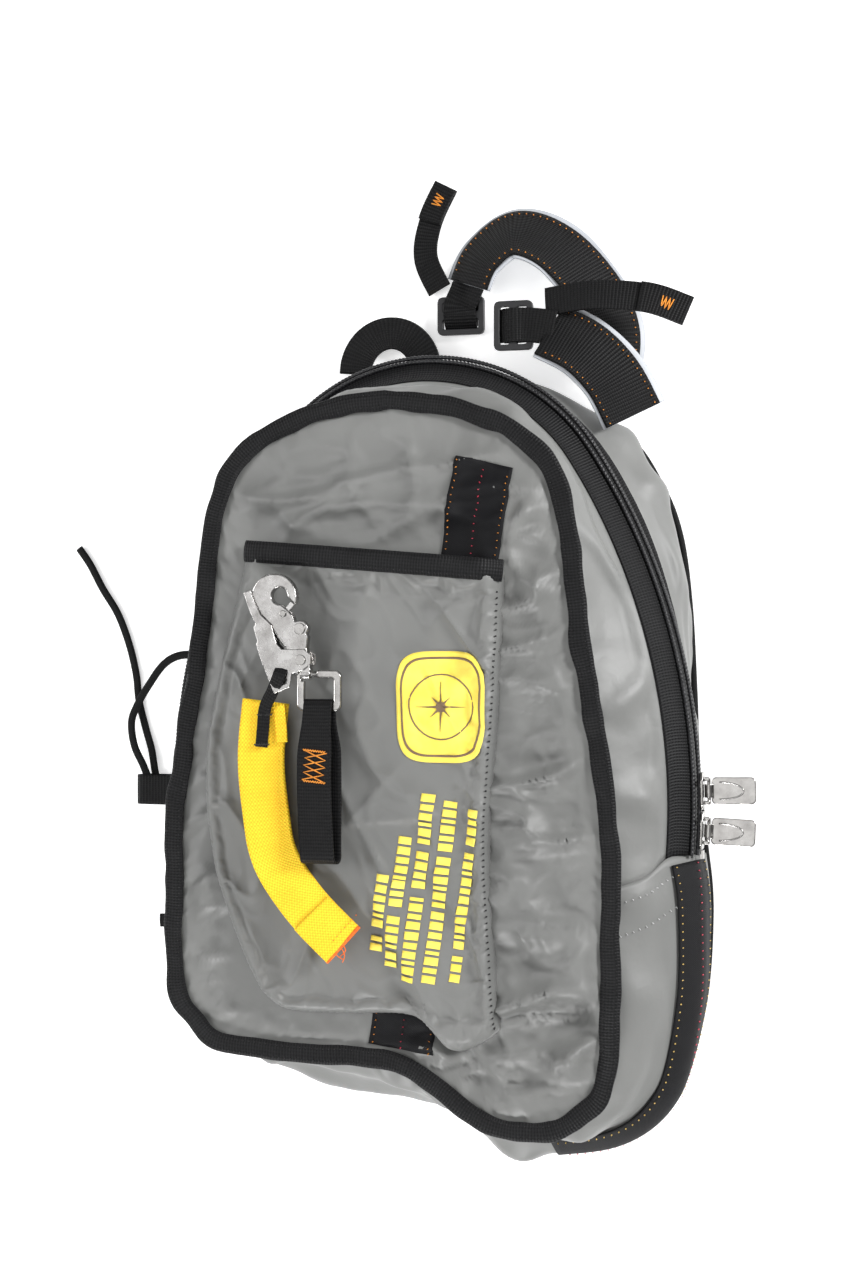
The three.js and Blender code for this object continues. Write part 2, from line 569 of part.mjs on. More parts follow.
addBack();
addRearGusset();
addLowerGusset();
addSideStripe('side_stripe_right', SEAM, SEAM + 7);
addSideStripe('side_stripe_left', 2 * HALF - SEAM - 7, 2 * HALF - SEAM);
addZipSide(group, 0, 'rear_zip_tape', 'rear_coil', [40, ZIP_Z - ZIP_SPLIT], [47.4, ZIP_Z - ZIP_SPLIT]);
addZipStop('zip_stop_right', 1);
addZipStop('zip_stop_left', -1);
addSlider('zip_slider_lower', SLIDER_LOWER_ANGLE);
addSlider('zip_slider_upper', SLIDER_UPPER_ANGLE);
addFront();
addPocket();
addSling();
addLink();
addHookBody();
addKeeper();
addLever();
addTab();
addHandle();
addStraps();
addSideLoop();
addTape('tie_tape_free', FREE_TAPE, 17);
addTape('tie_tape_side', SIDE_TAPE, 11);

export default group;
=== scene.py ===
"""Visual model of a zipped nylon flight bag that lies on its back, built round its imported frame."""
import json
import logging
import math
from dataclasses import dataclass
from enum import Enum
from typing import Callable, Optional, Sequence

import bpy
import numpy as np
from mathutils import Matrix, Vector, noise
from mathutils.bvhtree import BVHTree

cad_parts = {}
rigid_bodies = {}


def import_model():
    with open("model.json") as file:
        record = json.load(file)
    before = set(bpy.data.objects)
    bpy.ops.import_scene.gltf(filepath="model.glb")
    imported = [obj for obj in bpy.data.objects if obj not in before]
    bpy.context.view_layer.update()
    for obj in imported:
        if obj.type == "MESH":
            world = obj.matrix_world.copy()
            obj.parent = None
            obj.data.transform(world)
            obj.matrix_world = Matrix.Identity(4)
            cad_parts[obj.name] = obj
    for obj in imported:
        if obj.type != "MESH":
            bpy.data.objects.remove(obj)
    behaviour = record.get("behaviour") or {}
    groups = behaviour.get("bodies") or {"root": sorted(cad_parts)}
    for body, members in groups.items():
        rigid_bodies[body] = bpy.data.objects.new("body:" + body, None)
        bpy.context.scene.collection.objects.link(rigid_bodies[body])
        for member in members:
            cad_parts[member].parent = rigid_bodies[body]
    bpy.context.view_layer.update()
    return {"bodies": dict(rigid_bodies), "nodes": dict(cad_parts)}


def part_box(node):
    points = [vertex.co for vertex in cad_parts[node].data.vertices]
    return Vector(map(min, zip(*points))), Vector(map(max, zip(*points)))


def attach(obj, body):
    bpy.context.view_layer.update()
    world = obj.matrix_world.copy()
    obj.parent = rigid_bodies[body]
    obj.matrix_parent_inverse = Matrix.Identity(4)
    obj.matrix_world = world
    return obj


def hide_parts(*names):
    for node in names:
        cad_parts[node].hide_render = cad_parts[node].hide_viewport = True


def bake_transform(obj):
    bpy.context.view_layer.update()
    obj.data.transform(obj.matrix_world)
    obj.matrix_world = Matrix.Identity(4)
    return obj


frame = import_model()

LOG = logging.getLogger("flight_bag")
MM = 0.001
Piece = bpy.types.Object
Grid = np.ndarray


# ---------------------------------------------------------------- modelling helpers
def deselect() -> None:
    """Leaves no object selected."""
    for obj in bpy.context.selected_objects:
        obj.select_set(False)


def activate(obj: Piece) -> None:
    """Makes one object the only selected and the active one."""
    deselect()
    obj.select_set(True)
    bpy.context.view_layer.objects.active = obj


def apply_modifier(obj: Piece, kind: str, **settings: object) -> None:
    """Adds a modifier, sets it and applies it.

    Args:
        obj: The piece.
        kind: The modifier's type, such as SOLIDIFY.
        settings: The modifier's own properties.
    """
    activate(obj)
    modifier = obj.modifiers.new(kind.title(), kind)
    for key, value in settings.items():
        setattr(modifier, key, value)
    bpy.ops.object.modifier_apply(modifier=modifier.name)


def clean(obj: Piece) -> None:
    """Merges doubled vertices and turns the faces outwards."""
    activate(obj)
    bpy.ops.object.mode_set(mode="EDIT")
    bpy.ops.mesh.select_all(action="SELECT")
    bpy.ops.mesh.remove_doubles(threshold=1e-6)
    bpy.ops.mesh.normals_make_consistent(inside=False)
    bpy.ops.object.mode_set(mode="OBJECT")


def shade(obj: Piece, angle: float = 180.0) -> None:
    """Shades smooth, and keeps edges sharper than an angle in degrees."""
    activate(obj)
    if angle < 180.0:
        bpy.ops.object.shade_smooth_by_angle(angle=math.radians(angle))
    else:
        bpy.ops.object.shade_smooth()


def distances(points: Grid) -> Grid:
    """The running length along the first axis of a grid of points, averaged over the second."""
    steps = np.linalg.norm(np.diff(points, axis=0), axis=-1)
    if steps.ndim > 1:
        steps = steps.mean(axis=1)
    return np.concatenate([[0.0], np.cumsum(steps)])


def places(obj: Piece) -> Grid:
    """A mesh's vertices, one row each, in metres."""
    flat = np.empty(len(obj.data.vertices) * 3)
    obj.data.vertices.foreach_get("co", flat)
    return flat.reshape(-1, 3)


def sheet(name: str, points: Grid, thickness: float = 0.0, offset: float = -1.0) -> Piece:
    """Lays a grid of cloth over a table of points.

    Args:
        name: The piece's name.
        points: The places in millimetres, indexed along, across and by coordinate.
        thickness: The cloth's thickness in millimetres, or 0 for a closed form.
        offset: Where the thickness goes, from -1 under the points to 1 over them.

    Returns:
        The piece, with a UV map in metres along and across.
    """
    along, across = points.shape[0] - 1, points.shape[1] - 1
    deselect()
    bpy.ops.mesh.primitive_grid_add(x_subdivisions=along, y_subdivisions=across, size=1.0)
    obj = bpy.context.object
    obj.name = obj.data.name = name
    mesh, flat = obj.data, places(obj)
    row = np.rint((flat[:, 0] + 0.5) * along).astype(int)
    column = np.rint((flat[:, 1] + 0.5) * across).astype(int)
    mesh.vertices.foreach_set("co", (points[row, column] * MM).ravel())
    lengths = distances(points), distances(points.transpose(1, 0, 2))
    layer = mesh.uv_layers[0].data
    uv = np.empty(len(layer) * 2)
    layer.foreach_get("uv", uv)
    uv = uv.reshape(-1, 2)
    cells = np.rint(uv * (along, across)).astype(int)
    layer.foreach_set("uv", (np.column_stack([lengths[k][cells[:, k]] for k in (0, 1)]) * MM).ravel())
    clean(obj)
    if thickness:
        apply_modifier(obj, "SOLIDIFY", thickness=thickness * MM, offset=offset)
    shade(obj)
    return obj


def respace(path: Grid, steps: int) -> Grid:
    """Spaces steps + 1 points evenly along a polyline."""
    length = distances(path)
    even = np.linspace(0.0, length[-1], steps + 1)
    return np.column_stack([np.interp(even, length, path[:, k]) for k in range(path.shape[1])])


def blend_points(a: Grid, b: Grid, c: Grid, d: Grid, t: Grid) -> Grid:
    """A Catmull-Rom span from b to c."""
    return 0.5 * (2 * b + (c - a) * t + (2 * a - 5 * b + 4 * c - d) * t**2 + (3 * b - a - 3 * c + d) * t**3)


def curve(points: Sequence[Sequence[float]], steps: int) -> Grid:
    """A smooth curve through some points, as steps + 1 evenly spaced ones."""
    knots = np.array(points, float)
    ends = np.vstack([knots[:1], knots, knots[-1:]])
    t = np.linspace(0.0, 1.0, 30, endpoint=False)[:, None]
    spans = [blend_points(*ends[i:i + 4], t) for i in range(len(knots) - 1)]
    return respace(np.vstack([*spans, knots[-1:]]), steps)


def smooth(t: Grid) -> Grid:
    """A smooth step from 0 to 1."""
    t = np.clip(t, 0.0, 1.0)
    return t * t * (3.0 - 2.0 * t)


def frames(path: Grid, up: Sequence[float] = (0.0, 0.0, 1.0)) -> tuple[Grid, Grid]:
    """The sideways and upward unit vectors along a path.

    Args:
        path: The path's points.
        up: The direction that the path's top faces.

    Returns:
        The sideways vectors, to the right of travel, and the upward ones.
    """
    tangent = np.gradient(path, axis=0)
    tangent /= np.linalg.norm(tangent, axis=1, keepdims=True)
    side = np.cross(tangent, np.broadcast_to(up, path.shape))
    side /= np.linalg.norm(side, axis=1, keepdims=True)
    return side, np.cross(side, tangent)


def tube(name: str, path: Grid, width: float, height: float, sides: int = 10, loop: bool = False,
         swell: Optional[Grid] = None) -> Piece:
    """A closed tube with an oval section along a path.

    Args:
        name: The piece's name.
        path: The centreline in millimetres.
        width: The full width of the oval.
        height: The full height of the oval.
        sides: The number of points round it.
        loop: True if the path comes back to its start.
        swell: A factor on the section at each point.

    Returns:
        The piece.
    """
    if loop:
        ring = np.vstack([path[-1:], path, path[:1]])
        side, up = (v[1:-1] for v in frames(ring))
    else:
        side, up = frames(path)
    turn = np.linspace(0.0, 2.0 * math.pi, sides + 1)
    factor = np.ones(len(path)) if swell is None else swell
    if not loop:
        factor = factor.copy()
        factor[0] = factor[-1] = 1e-4
        path = np.vstack([path[:1], path[:1] * 0.999 + path[1:2] * 0.001, path[1:-1],
                          path[-1:] * 0.999 + path[-2:-1] * 0.001, path[-1:]])
        side, up = (np.vstack([v[:1], v, v[-1:]]) for v in (side, up))
        factor = np.concatenate([[1e-4], [1.0], factor[1:-1], [1.0], [1e-4]])
    points = (path[:, None, :]
              + side[:, None, :] * (np.cos(turn)[None, :, None] * width / 2 * factor[:, None, None])
              + up[:, None, :] * (np.sin(turn)[None, :, None] * height / 2 * factor[:, None, None]))
    if loop:
        points = np.concatenate([points, points[:1]])
    return sheet(name, points)


def stitches(name: str, path: Grid, length: float = 2.6, gap: float = 1.2, width: float = 0.7,
             height: float = 0.5) -> Piece:
    """A row of thread stitches: one is modelled, then repeated along the path.

    Args:
        name: The piece's name.
        path: The row's line in millimetres.
        length: A stitch's length.
        gap: The gap between stitches.
        width: The thread's width.
        height: The thread's height over the cloth.

    Returns:
        The row as one piece.
    """
    deselect()
    bpy.ops.mesh.primitive_uv_sphere_add(segments=6, ring_count=4, radius=0.5)
    obj = bpy.context.object
    obj.name = obj.data.name = name
    bpy.ops.transform.rotate(value=math.pi / 2, orient_axis="Y", center_override=(0, 0, 0))
    obj.scale = (length * MM, width * MM, height * MM)
    obj.location.x = length * MM / 2
    bpy.ops.object.transform_apply(location=True, rotation=True, scale=True)
    count = max(1, int(distances(path)[-1] / (length + gap)))
    apply_modifier(obj, "ARRAY", count=count, use_relative_offset=False, use_constant_offset=True,
                   constant_offset_displace=((length + gap) * MM, 0.0, 0.0))
    line = bpy.data.curves.new(name + "_line", "CURVE")
    line.dimensions = "3D"
    line.splines.new("POLY").points.add(len(path) - 1)
    line.splines[0].points.foreach_set("co", np.column_stack([path * MM, np.ones(len(path))]).ravel())
    guide = bpy.data.objects.new(name + "_line", line)
    bpy.context.collection.objects.link(guide)
    apply_modifier(obj, "CURVE", object=guide, deform_axis="POS_X")
    bpy.data.objects.remove(guide)
    shade(obj)
    return obj


def joined(name: str, parts: Sequence[Piece]) -> Piece:
    """Joins pieces into one, with one mesh."""
    activate(parts[0])
    for part in parts:
        part.select_set(True)
    bpy.ops.object.join()
    obj = bpy.context.object
    obj.name = obj.data.name = name
    return obj


def forged(node: str, voxel: float, passes: int) -> Piece:
    """A metal piece with softened edges, made from a copy of a CAD node.

    Args:
        node: The CAD node's name.
        voxel: The remeshing size in millimetres.
        passes: How many times its surface is smoothed.

    Returns:
        The piece.
    """
    source = frame["nodes"][node]
    mesh = source.data.copy()
    mesh.transform(source.matrix_world)
    mesh.materials.clear()
    obj = bpy.data.objects.new(node + "_forged", mesh)
    bpy.context.collection.objects.link(obj)
    clean(obj)
    apply_modifier(obj, "REMESH", mode="VOXEL", voxel_size=voxel * MM)
    apply_modifier(obj, "SMOOTH", factor=0.5, iterations=passes)
    shade(obj)
    return obj


def floor_of(obj: Piece) -> Callable[[float, float], float]:
    """A function that gives the height of a piece's top surface at a place, in millimetres."""
    mesh = obj.data
    tree = BVHTree.FromPolygons([v.co for v in mesh.vertices], [p.vertices for p in mesh.polygons])

    def height(x: float, y: float) -> float:
        """The height of the surface over (x, y), all in millimetres."""
        hit = tree.ray_cast(Vector((x * MM, y * MM, 1.0)), Vector((0.0, 0.0, -1.0)))[0]
        return hit.z / MM if hit else 100.0

    return height


def folds(points: Grid, size: Sequence[float], seed: float) -> Grid:
    """Crumpled cloth: broad hollows between narrow ridges, from about -1 to 1.

    Args:
        points: Coordinates, last axis of 3.
        size: The folds' size along each coordinate.
        seed: Chooses a pattern.

    Returns:
        One value for each point.
    """
    flat = points.reshape(-1, 3) / np.array(size, float) + seed
    large, small = (np.abs([noise.noise(Vector(p) * scale) for p in flat]) for scale in (1.0, 2.1))
    ridge = 1.25 * np.clip(1.0 - 3.2 * large, 0.0, 1.0) ** 2
    ridge = ridge + 0.45 * np.clip(1.0 - 3.4 * small, 0.0, 1.0) ** 2
    return (ridge - 0.45 - 0.8 * large).reshape(points.shape[:-1])


def ripple(points: Grid, size: Sequence[float], seed: float) -> Grid:
    """Soft noise from about -1 to 1, one value for each point."""
    flat = points.reshape(-1, 3) / np.array(size, float) + seed
    return np.array([noise.noise(Vector(p)) for p in flat]).reshape(points.shape[:-1])


# ---------------------------------------------------------------- finishes
class Tree:
    """Wires a material's nodes in front of its Principled BSDF."""

    def __init__(self, name: str, **fixed: object) -> None:
        """Starts a material.

        Args:
            name: The material's name.
            fixed: Values for the shader's own sockets, with _ for a space.
        """
        self.material = bpy.data.materials.new(name)
        self.material.use_nodes = True
        self.tree = self.material.node_tree
        self.shader = self.tree.nodes["Principled BSDF"]
        for key, value in fixed.items():
            self.shader.inputs[key.replace("_", " ")].default_value = value

    def node(self, kind: str, inputs: Optional[dict] = None, **properties: object) -> bpy.types.Node:
        """Adds a node, sets its properties and links or sets its inputs."""
        made = self.tree.nodes.new(kind)
        for key, value in properties.items():
            setattr(made, key, value)
        for key, value in (inputs or {}).items():
            if isinstance(value, bpy.types.NodeSocket):
                self.tree.links.new(value, made.inputs[key])
            else:
                made.inputs[key].default_value = value
        return made

    def where(self, output: str) -> bpy.types.NodeSocket:
        """A Texture Coordinate output, UV or Object."""
        return self.node("ShaderNodeTexCoord").outputs[output]

    def group(self, group: bpy.types.NodeTree, **inputs: object) -> bpy.types.Node:
        """Places a shared group with its own values."""
        made = self.tree.nodes.new("ShaderNodeGroup")
        made.node_tree = group
        for key, value in inputs.items():
            if isinstance(value, bpy.types.NodeSocket):
                self.tree.links.new(value, made.inputs[key])
            else:
                made.inputs[key].default_value = value
        return made

    def tint(self, factor: bpy.types.NodeSocket, low: Sequence[float], high: Sequence[float]) -> None:
        """Base colour between two colours by a mask."""
        ramp = self.node("ShaderNodeMix", {"Factor": factor}, data_type="RGBA")
        ramp.inputs[6].default_value = (*low, 1.0)
        ramp.inputs[7].default_value = (*high, 1.0)
        self.tree.links.new(ramp.outputs[2], self.shader.inputs["Base Color"])

    def rough(self, factor: bpy.types.NodeSocket, low: float, high: float) -> None:
        """Roughness between two values by a mask."""
        spread = self.node("ShaderNodeMapRange", {"Value": factor, "To Min": low, "To Max": high})
        self.tree.links.new(spread.outputs[0], self.shader.inputs["Roughness"])

    def bump(self, height: bpy.types.NodeSocket, depth: float, strength: float = 1.0) -> None:
        """Bump of a depth in millimetres, laid over any bump before it."""
        made = self.node("ShaderNodeBump", {"Height": height, "Distance": depth * MM, "Strength": strength})
        normal = self.shader.inputs["Normal"]
        if normal.is_linked:
            self.tree.links.new(normal.links[0].from_socket, made.inputs["Normal"])
        self.tree.links.new(made.outputs[0], normal)


def new_group(name: str, inputs: Sequence[tuple[str, str, float]], outputs: Sequence[str]) -> tuple:
    """Starts a shared node group.

    Args:
        name: The group's name.
        inputs: Each input's name, socket type and first value.
        outputs: The names of its float outputs.

    Returns:
        The group, its input node and its output node.
    """
    group = bpy.data.node_groups.new(name, "ShaderNodeTree")
    for label, kind, value in inputs:
        socket = group.interface.new_socket(label, in_out="INPUT", socket_type=kind)
        if kind == "NodeSocketFloat":
            socket.default_value = value
    for label in outputs:
        group.interface.new_socket(label, in_out="OUTPUT", socket_type="NodeSocketFloat")
    return group, group.nodes.new("NodeGroupInput"), group.nodes.new("NodeGroupOutput")


def math_node(group: bpy.types.NodeTree, operation: str, *values: object) -> bpy.types.NodeSocket:
    """Adds a Math node to a group and returns its output."""
    made = group.nodes.new("ShaderNodeMath")
    made.operation = operation
    for index, value in enumerate(values):
        if isinstance(value, bpy.types.NodeSocket):
            group.links.new(value, made.inputs[index])
        else:
            made.inputs[index].default_value = value
    return made.outputs[0]


def weave_group() -> bpy.types.NodeTree:
    """Ribs along U and yarns along V: Height, and Shade for the dips between yarns."""
    group, start, end = new_group(
        "woven_yarns",
        [("Vector", "NodeSocketVector", 0.0), ("Ribs", "NodeSocketFloat", 700.0),
         ("Yarns", "NodeSocketFloat", 900.0), ("Basket", "NodeSocketFloat", 0.0)],
        ["Height", "Shade"],
    )
    split = group.nodes.new("ShaderNodeSeparateXYZ")
    group.links.new(start.outputs["Vector"], split.inputs[0])
    turn = 2.0 * math.pi
    waves = []
    for axis, rate in (("X", "Ribs"), ("Y", "Yarns")):
        turns = math_node(group, "MULTIPLY", split.outputs[axis], start.outputs[rate])
        waves.append(math_node(group, "SINE", math_node(group, "MULTIPLY", turns, turn)))
    crossed = math_node(group, "MULTIPLY", waves[0], waves[1])
    plain = math_node(group, "MULTIPLY_ADD", waves[1], 0.35, math_node(group, "MULTIPLY", waves[0], 0.65))
    part = math_node(group, "MULTIPLY", math_node(group, "SUBTRACT", crossed, plain), start.outputs["Basket"])
    height = math_node(group, "MULTIPLY_ADD", math_node(group, "ADD", plain, part), 0.5, 0.5)
    group.links.new(height, end.inputs["Height"])
    shade_value = math_node(group, "POWER", math_node(group, "MAXIMUM", height, 0.0), 0.7)
    group.links.new(shade_value, end.inputs["Shade"])
    return group


def wear_group() -> bpy.types.NodeTree:
    """Handling marks at two sizes: Mask for colour, and Height for small dents and crinkles."""
    group, start, end = new_group(
        "handled_surface",
        [("Vector", "NodeSocketVector", 0.0), ("Scale", "NodeSocketFloat", 20.0)],
        ["Mask", "Height"],
    )
    outputs = []
    for factor, detail in ((1.0, 4.0), (6.0, 3.0)):
        texture = group.nodes.new("ShaderNodeTexNoise")
        texture.inputs["Detail"].default_value = detail
        group.links.new(start.outputs["Vector"], texture.inputs["Vector"])
        group.links.new(math_node(group, "MULTIPLY", start.outputs["Scale"], factor), texture.inputs["Scale"])
        outputs.append(texture.outputs[0])
    spread = math_node(group, "MULTIPLY_ADD", math_node(group, "SUBTRACT", outputs[0], 0.5), 2.2, 0.5)
    mask = math_node(group, "MINIMUM", math_node(group, "MAXIMUM", spread, 0.0), 1.0)
    group.links.new(mask, end.inputs["Mask"])
    ridge = math_node(group, "ABSOLUTE", math_node(group, "SUBTRACT", outputs[1], 0.5))
    dent = math_node(group, "SUBTRACT", 1.0, math_node(group, "MULTIPLY", ridge, 3.0))
    group.links.new(dent, end.inputs["Height"])
    return group


WEAVE = weave_group()
WEAR = wear_group()


@dataclass(frozen=True)
class Nylon:
    """Thin coated nylon cloth with a soft shine, a fine weave and small crinkles."""

    name: str
    dark: tuple[float, float, float]
    light: tuple[float, float, float]
    roughness: tuple[float, float] = (0.42, 0.56)
    crinkle: float = 0.4
    yarns: float = 1300.0

    def material(self) -> bpy.types.Material:
        """Builds the material."""
        tree = Tree(self.name, Specular_IOR_Level=0.5, Sheen_Weight=0.15, Sheen_Roughness=0.4)
        place = tree.where("Object")
        wear = tree.group(WEAR, Vector=place, Scale=8.0)
        tree.tint(wear.outputs["Mask"], self.dark, self.light)
        tree.rough(wear.outputs["Mask"], *self.roughness)
        weave = tree.group(WEAVE, Vector=tree.where("UV"), Ribs=self.yarns, Yarns=self.yarns, Basket=1.0)
        tree.bump(weave.outputs["Height"], 0.03, 0.35)
        tree.bump(wear.outputs["Height"], self.crinkle, 0.6)
        return tree.material


@dataclass(frozen=True)
class Woven:
    """Ribbed or basket webbing: yarns in relief, with painted shade in the dips between them and a painted
    highlight on their crests.
    """

    name: str
    shaded_dip: tuple[float, float, float]
    lit_crest: tuple[float, float, float]
    ribs: float = 620.0
    yarns: float = 900.0
    basket: float = 0.0
    depth: float = 0.25
    roughness: tuple[float, float] = (0.75, 0.55)

    def material(self) -> bpy.types.Material:
        """Builds the material."""
        tree = Tree(self.name, Specular_IOR_Level=0.17, Sheen_Weight=0.01, Sheen_Roughness=0.5)
        weave = tree.group(WEAVE, Vector=tree.where("UV"), Ribs=self.ribs, Yarns=self.yarns,
                           Basket=self.basket)
        wear = tree.group(WEAR, Vector=tree.where("Object"), Scale=45.0)
        worn = tree.node("ShaderNodeMath", {0: wear.outputs["Mask"], 1: 0.35, 2: 0.65},
                         operation="MULTIPLY_ADD")
        # Painted shade in the dips between yarns and a painted highlight on their crests, mottled by wear.
        shade_and_wear = tree.node("ShaderNodeMath", {0: weave.outputs["Shade"], 1: worn.outputs[0]},
                        operation="MULTIPLY")
        tree.tint(shade_and_wear.outputs[0], self.shaded_dip, self.lit_crest)
        tree.rough(weave.outputs["Shade"], *self.roughness)
        tree.bump(weave.outputs["Height"], self.depth)
        return tree.material


@dataclass(frozen=True)
class Metal:
    """Plated metal with fine handling marks."""

    name: str
    dark: tuple[float, float, float]
    light: tuple[float, float, float]
    roughness: tuple[float, float] = (0.14, 0.36)

    def material(self) -> bpy.types.Material:
        """Builds the material."""
        tree = Tree(self.name, Metallic=1.0)
        wear = tree.group(WEAR, Vector=tree.where("Object"), Scale=120.0)
        tree.tint(wear.outputs["Mask"], self.dark, self.light)
        tree.rough(wear.outputs["Mask"], *self.roughness)
        tree.bump(wear.outputs["Height"], 0.05, 0.5)
        return tree.material


@dataclass(frozen=True)
class Solid:
    """Thread, print, moulded plastic or foam: a mottled colour with a grain."""

    name: str
    dark: tuple[float, float, float]
    light: tuple[float, float, float]
    scale: float = 300.0
    grain: float = 0.1
    roughness: tuple[float, float] = (0.5, 0.7)

    def material(self) -> bpy.types.Material:
        """Builds the material."""
        tree = Tree(self.name, Specular_IOR_Level=0.4)
        wear = tree.group(WEAR, Vector=tree.where("Object"), Scale=self.scale)
        tree.tint(wear.outputs["Mask"], self.dark, self.light)
        tree.rough(wear.outputs["Mask"], *self.roughness)
        tree.bump(wear.outputs["Height"], self.grain)
        return tree.material


class Finish(Enum):
    """Every finish on the bag."""

    NYLON = Nylon("grey_nylon", (0.142, 0.144, 0.139), (0.182, 0.184, 0.178))
    LINING = Nylon("pale_lining", (0.42, 0.44, 0.48), (0.55, 0.57, 0.6), (0.4, 0.55), 0.3)
    # Each Woven finish has two colours: painted shade in the yarns' dips, then a painted highlight on their
    # crests.
    RIBBED = Woven("black_ribbed_webbing", (0.001, 0.001, 0.0012), (0.009, 0.009, 0.0095),
                   480.0, 700.0, 0.0, 0.4, (0.7, 0.45))
    TAPE = Woven("black_binding_tape", (0.001, 0.001, 0.0012), (0.014, 0.014, 0.015),
                 560.0, 500.0, 0.0, 0.35, (0.7, 0.42))
    TWILL = Woven("black_twill_stripe", (0.0015, 0.0015, 0.002), (0.009, 0.009, 0.0105),
                  900.0, 700.0, 0.8, 0.15)
    BRAID = Woven("black_braid", (0.001, 0.001, 0.0012), (0.007, 0.007, 0.0075), 500.0, 700.0, 0.7, 0.2)
    ORANGE = Woven("orange_basket_webbing", (0.9, 0.36, 0.01), (1.0, 0.86, 0.05), 420.0, 480.0, 0.75, 0.4)
    EDGE = Solid("sealed_orange_edge", (0.75, 0.1, 0.01), (0.95, 0.22, 0.02), 500.0)
    COIL = Solid("black_coil", (0.008, 0.008, 0.009), (0.02, 0.02, 0.022), 200.0, 0.02, (0.25, 0.4))
    NICKEL = Metal("brushed_nickel", (0.32, 0.31, 0.3), (0.58, 0.57, 0.56), (0.16, 0.32))
    CHROME = Metal("bright_nickel", (0.3, 0.29, 0.28), (0.5, 0.49, 0.475), (0.1, 0.25))
    PRINT = Solid("yellow_print", (0.93, 0.7, 0.08), (1.0, 0.84, 0.14), 90.0, 0.05)
    PRINT_DARK = Solid("printed_dark_line", (0.16, 0.1, 0.06), (0.22, 0.15, 0.09), 200.0, 0.02)
    BLACK_THREAD = Solid("black_thread", (0.006, 0.006, 0.006), (0.03, 0.03, 0.03))
    ORANGE_THREAD = Solid("orange_thread", (0.6, 0.19, 0.02), (0.85, 0.33, 0.04))
    GOLD_THREAD = Solid("gold_thread", (0.55, 0.36, 0.08), (0.8, 0.56, 0.16))
    RED_THREAD = Solid("red_thread", (0.55, 0.02, 0.05), (0.75, 0.07, 0.12))
    PALE_THREAD = Solid("pale_thread", (0.5, 0.5, 0.5), (0.7, 0.7, 0.7))
    PLASTIC = Solid("black_moulding", (0.012, 0.012, 0.013), (0.022, 0.022, 0.024), 60.0, 0.04, (0.35, 0.5))
    FOAM = Solid("grey_foam", (0.03, 0.03, 0.032), (0.06, 0.06, 0.062), 800.0, 0.4, (0.85, 0.95))
    FLOOR = Solid("pale_floor", (0.86, 0.86, 0.86), (0.9, 0.9, 0.9), 3.0, 0.0, (0.8, 0.9))

    def material(self) -> bpy.types.Material:
        """The finish's material, built once."""
        return bpy.data.materials.get(self.value.name) or self.value.material()


def dress(obj: Piece, finish: Finish, body: Optional[str], replaces: Sequence[str] = ()) -> Piece:
    """Gives a piece its finish, its body and the CAD nodes that it stands for.

    Args:
        obj: The piece.
        finish: Its finish.
        body: The CAD body that it rides on, or None to leave it on no body.
        replaces: The CAD nodes that it stands for.

    Returns:
        The piece.
    """
    obj.data.materials.clear()
    obj.data.materials.append(finish.material())
    if body:
        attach(obj, body)
    if replaces:
        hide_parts(*replaces)
    LOG.info("%s: %d faces, on %s", obj.name, len(obj.data.polygons), body)
    return obj


def recolour(nodes: Sequence[str], finish: Finish) -> None:
    """Gives CAD nodes a better material."""
    for name in nodes:
        node = frame["nodes"][name]
        node.data.materials.clear()
        node.data.materials.append(finish.material())


# ---------------------------------------------------------------- the bag's outlines
@dataclass(frozen=True)
class Outlines:
    """The bag's outlines in plan, in millimetres. Each runs clockwise from the top centre."""

    upper: int = 112
    lower: int = 80
    shift: float = -15.0
    slump: float = 40.0
    zip_centre: tuple[float, float] = (-225.0, -16.0)
    zip_radius: float = 386.0
    zip_angles: tuple[float, float] = (-4.5, 33.0)

    def sag(self, path: Grid) -> Grid:
        """Drops the lower right corner, where the bag has slid down inside its own fabric."""
        drop = self.slump * smooth((path[:, 0] + 20.0) / 85.0) * smooth((-60.0 - path[:, 1]) / 90.0)
        return np.column_stack([path[:, 0], path[:, 1] - drop])

    def closed(self, upper: Grid, lower: Grid, shift: float) -> Grid:
        """A closed outline from its right half, mirrored, shifted and sagged."""
        right = np.vstack([upper, lower[1:]])
        left = right[1:-1][::-1] * (-1.0, 1.0)
        return self.sag(np.vstack([right, left]) + (shift, 0.0))

    def zip_line(self) -> Grid:
        """The zip: a top arc, a side arc, then the lower gusset's middle."""
        low, high = (math.radians(a) for a in self.zip_angles)
        centre = np.array(self.zip_centre)
        reach = self.zip_radius * math.cos(high) + centre[0]
        top_radius = reach / math.cos(high)
        top_centre = (0.0, centre[1] + (self.zip_radius - top_radius) * math.sin(high))

        def arc(middle: Sequence[float], radius: float, start: float, stop: float) -> Grid:
            """Points along an arc."""
            turn = np.linspace(start, stop, 200)
            return np.column_stack([middle[0] + radius * np.cos(turn), middle[1] + radius * np.sin(turn)])

        upper = np.vstack([arc(top_centre, top_radius, math.pi / 2, high),
                           arc(centre, self.zip_radius, high, low)])
        lower = curve([(159.8, -46.3), (164, -76), (163, -110), (150, -148), (120, -176), (60, -189),
                       (0, -191)], self.lower)
        return self.closed(respace(upper, self.upper), lower, 0.0)

    def rear_line(self) -> Grid:
        """The widest outline, near the back."""
        upper = curve([(0, 248), (40, 243), (75, 232), (116, 207), (137, 177), (149, 146), (155, 104),
                       (158, 50), (160, 0), (165, -48)], self.upper)
        lower = curve([(165, -48), (168, -80), (164, -115), (150, -146), (128, -166), (95, -183),
                       (50, -191), (0, -192)], self.lower)
        return self.closed(upper, lower, 0.0)

    def front_line(self) -> Grid:
        """The front panel's seam."""
        upper = curve([(0, 222), (50, 214), (92, 190), (106, 161), (112, 129), (118, 74), (128, 15),
                       (134, -30), (134.5, -63)], self.upper)
        lower = curve([(134.5, -63), (133, -127), (121, -150), (93, -165), (0, -167)], self.lower)
        return self.closed(upper, lower, self.shift)


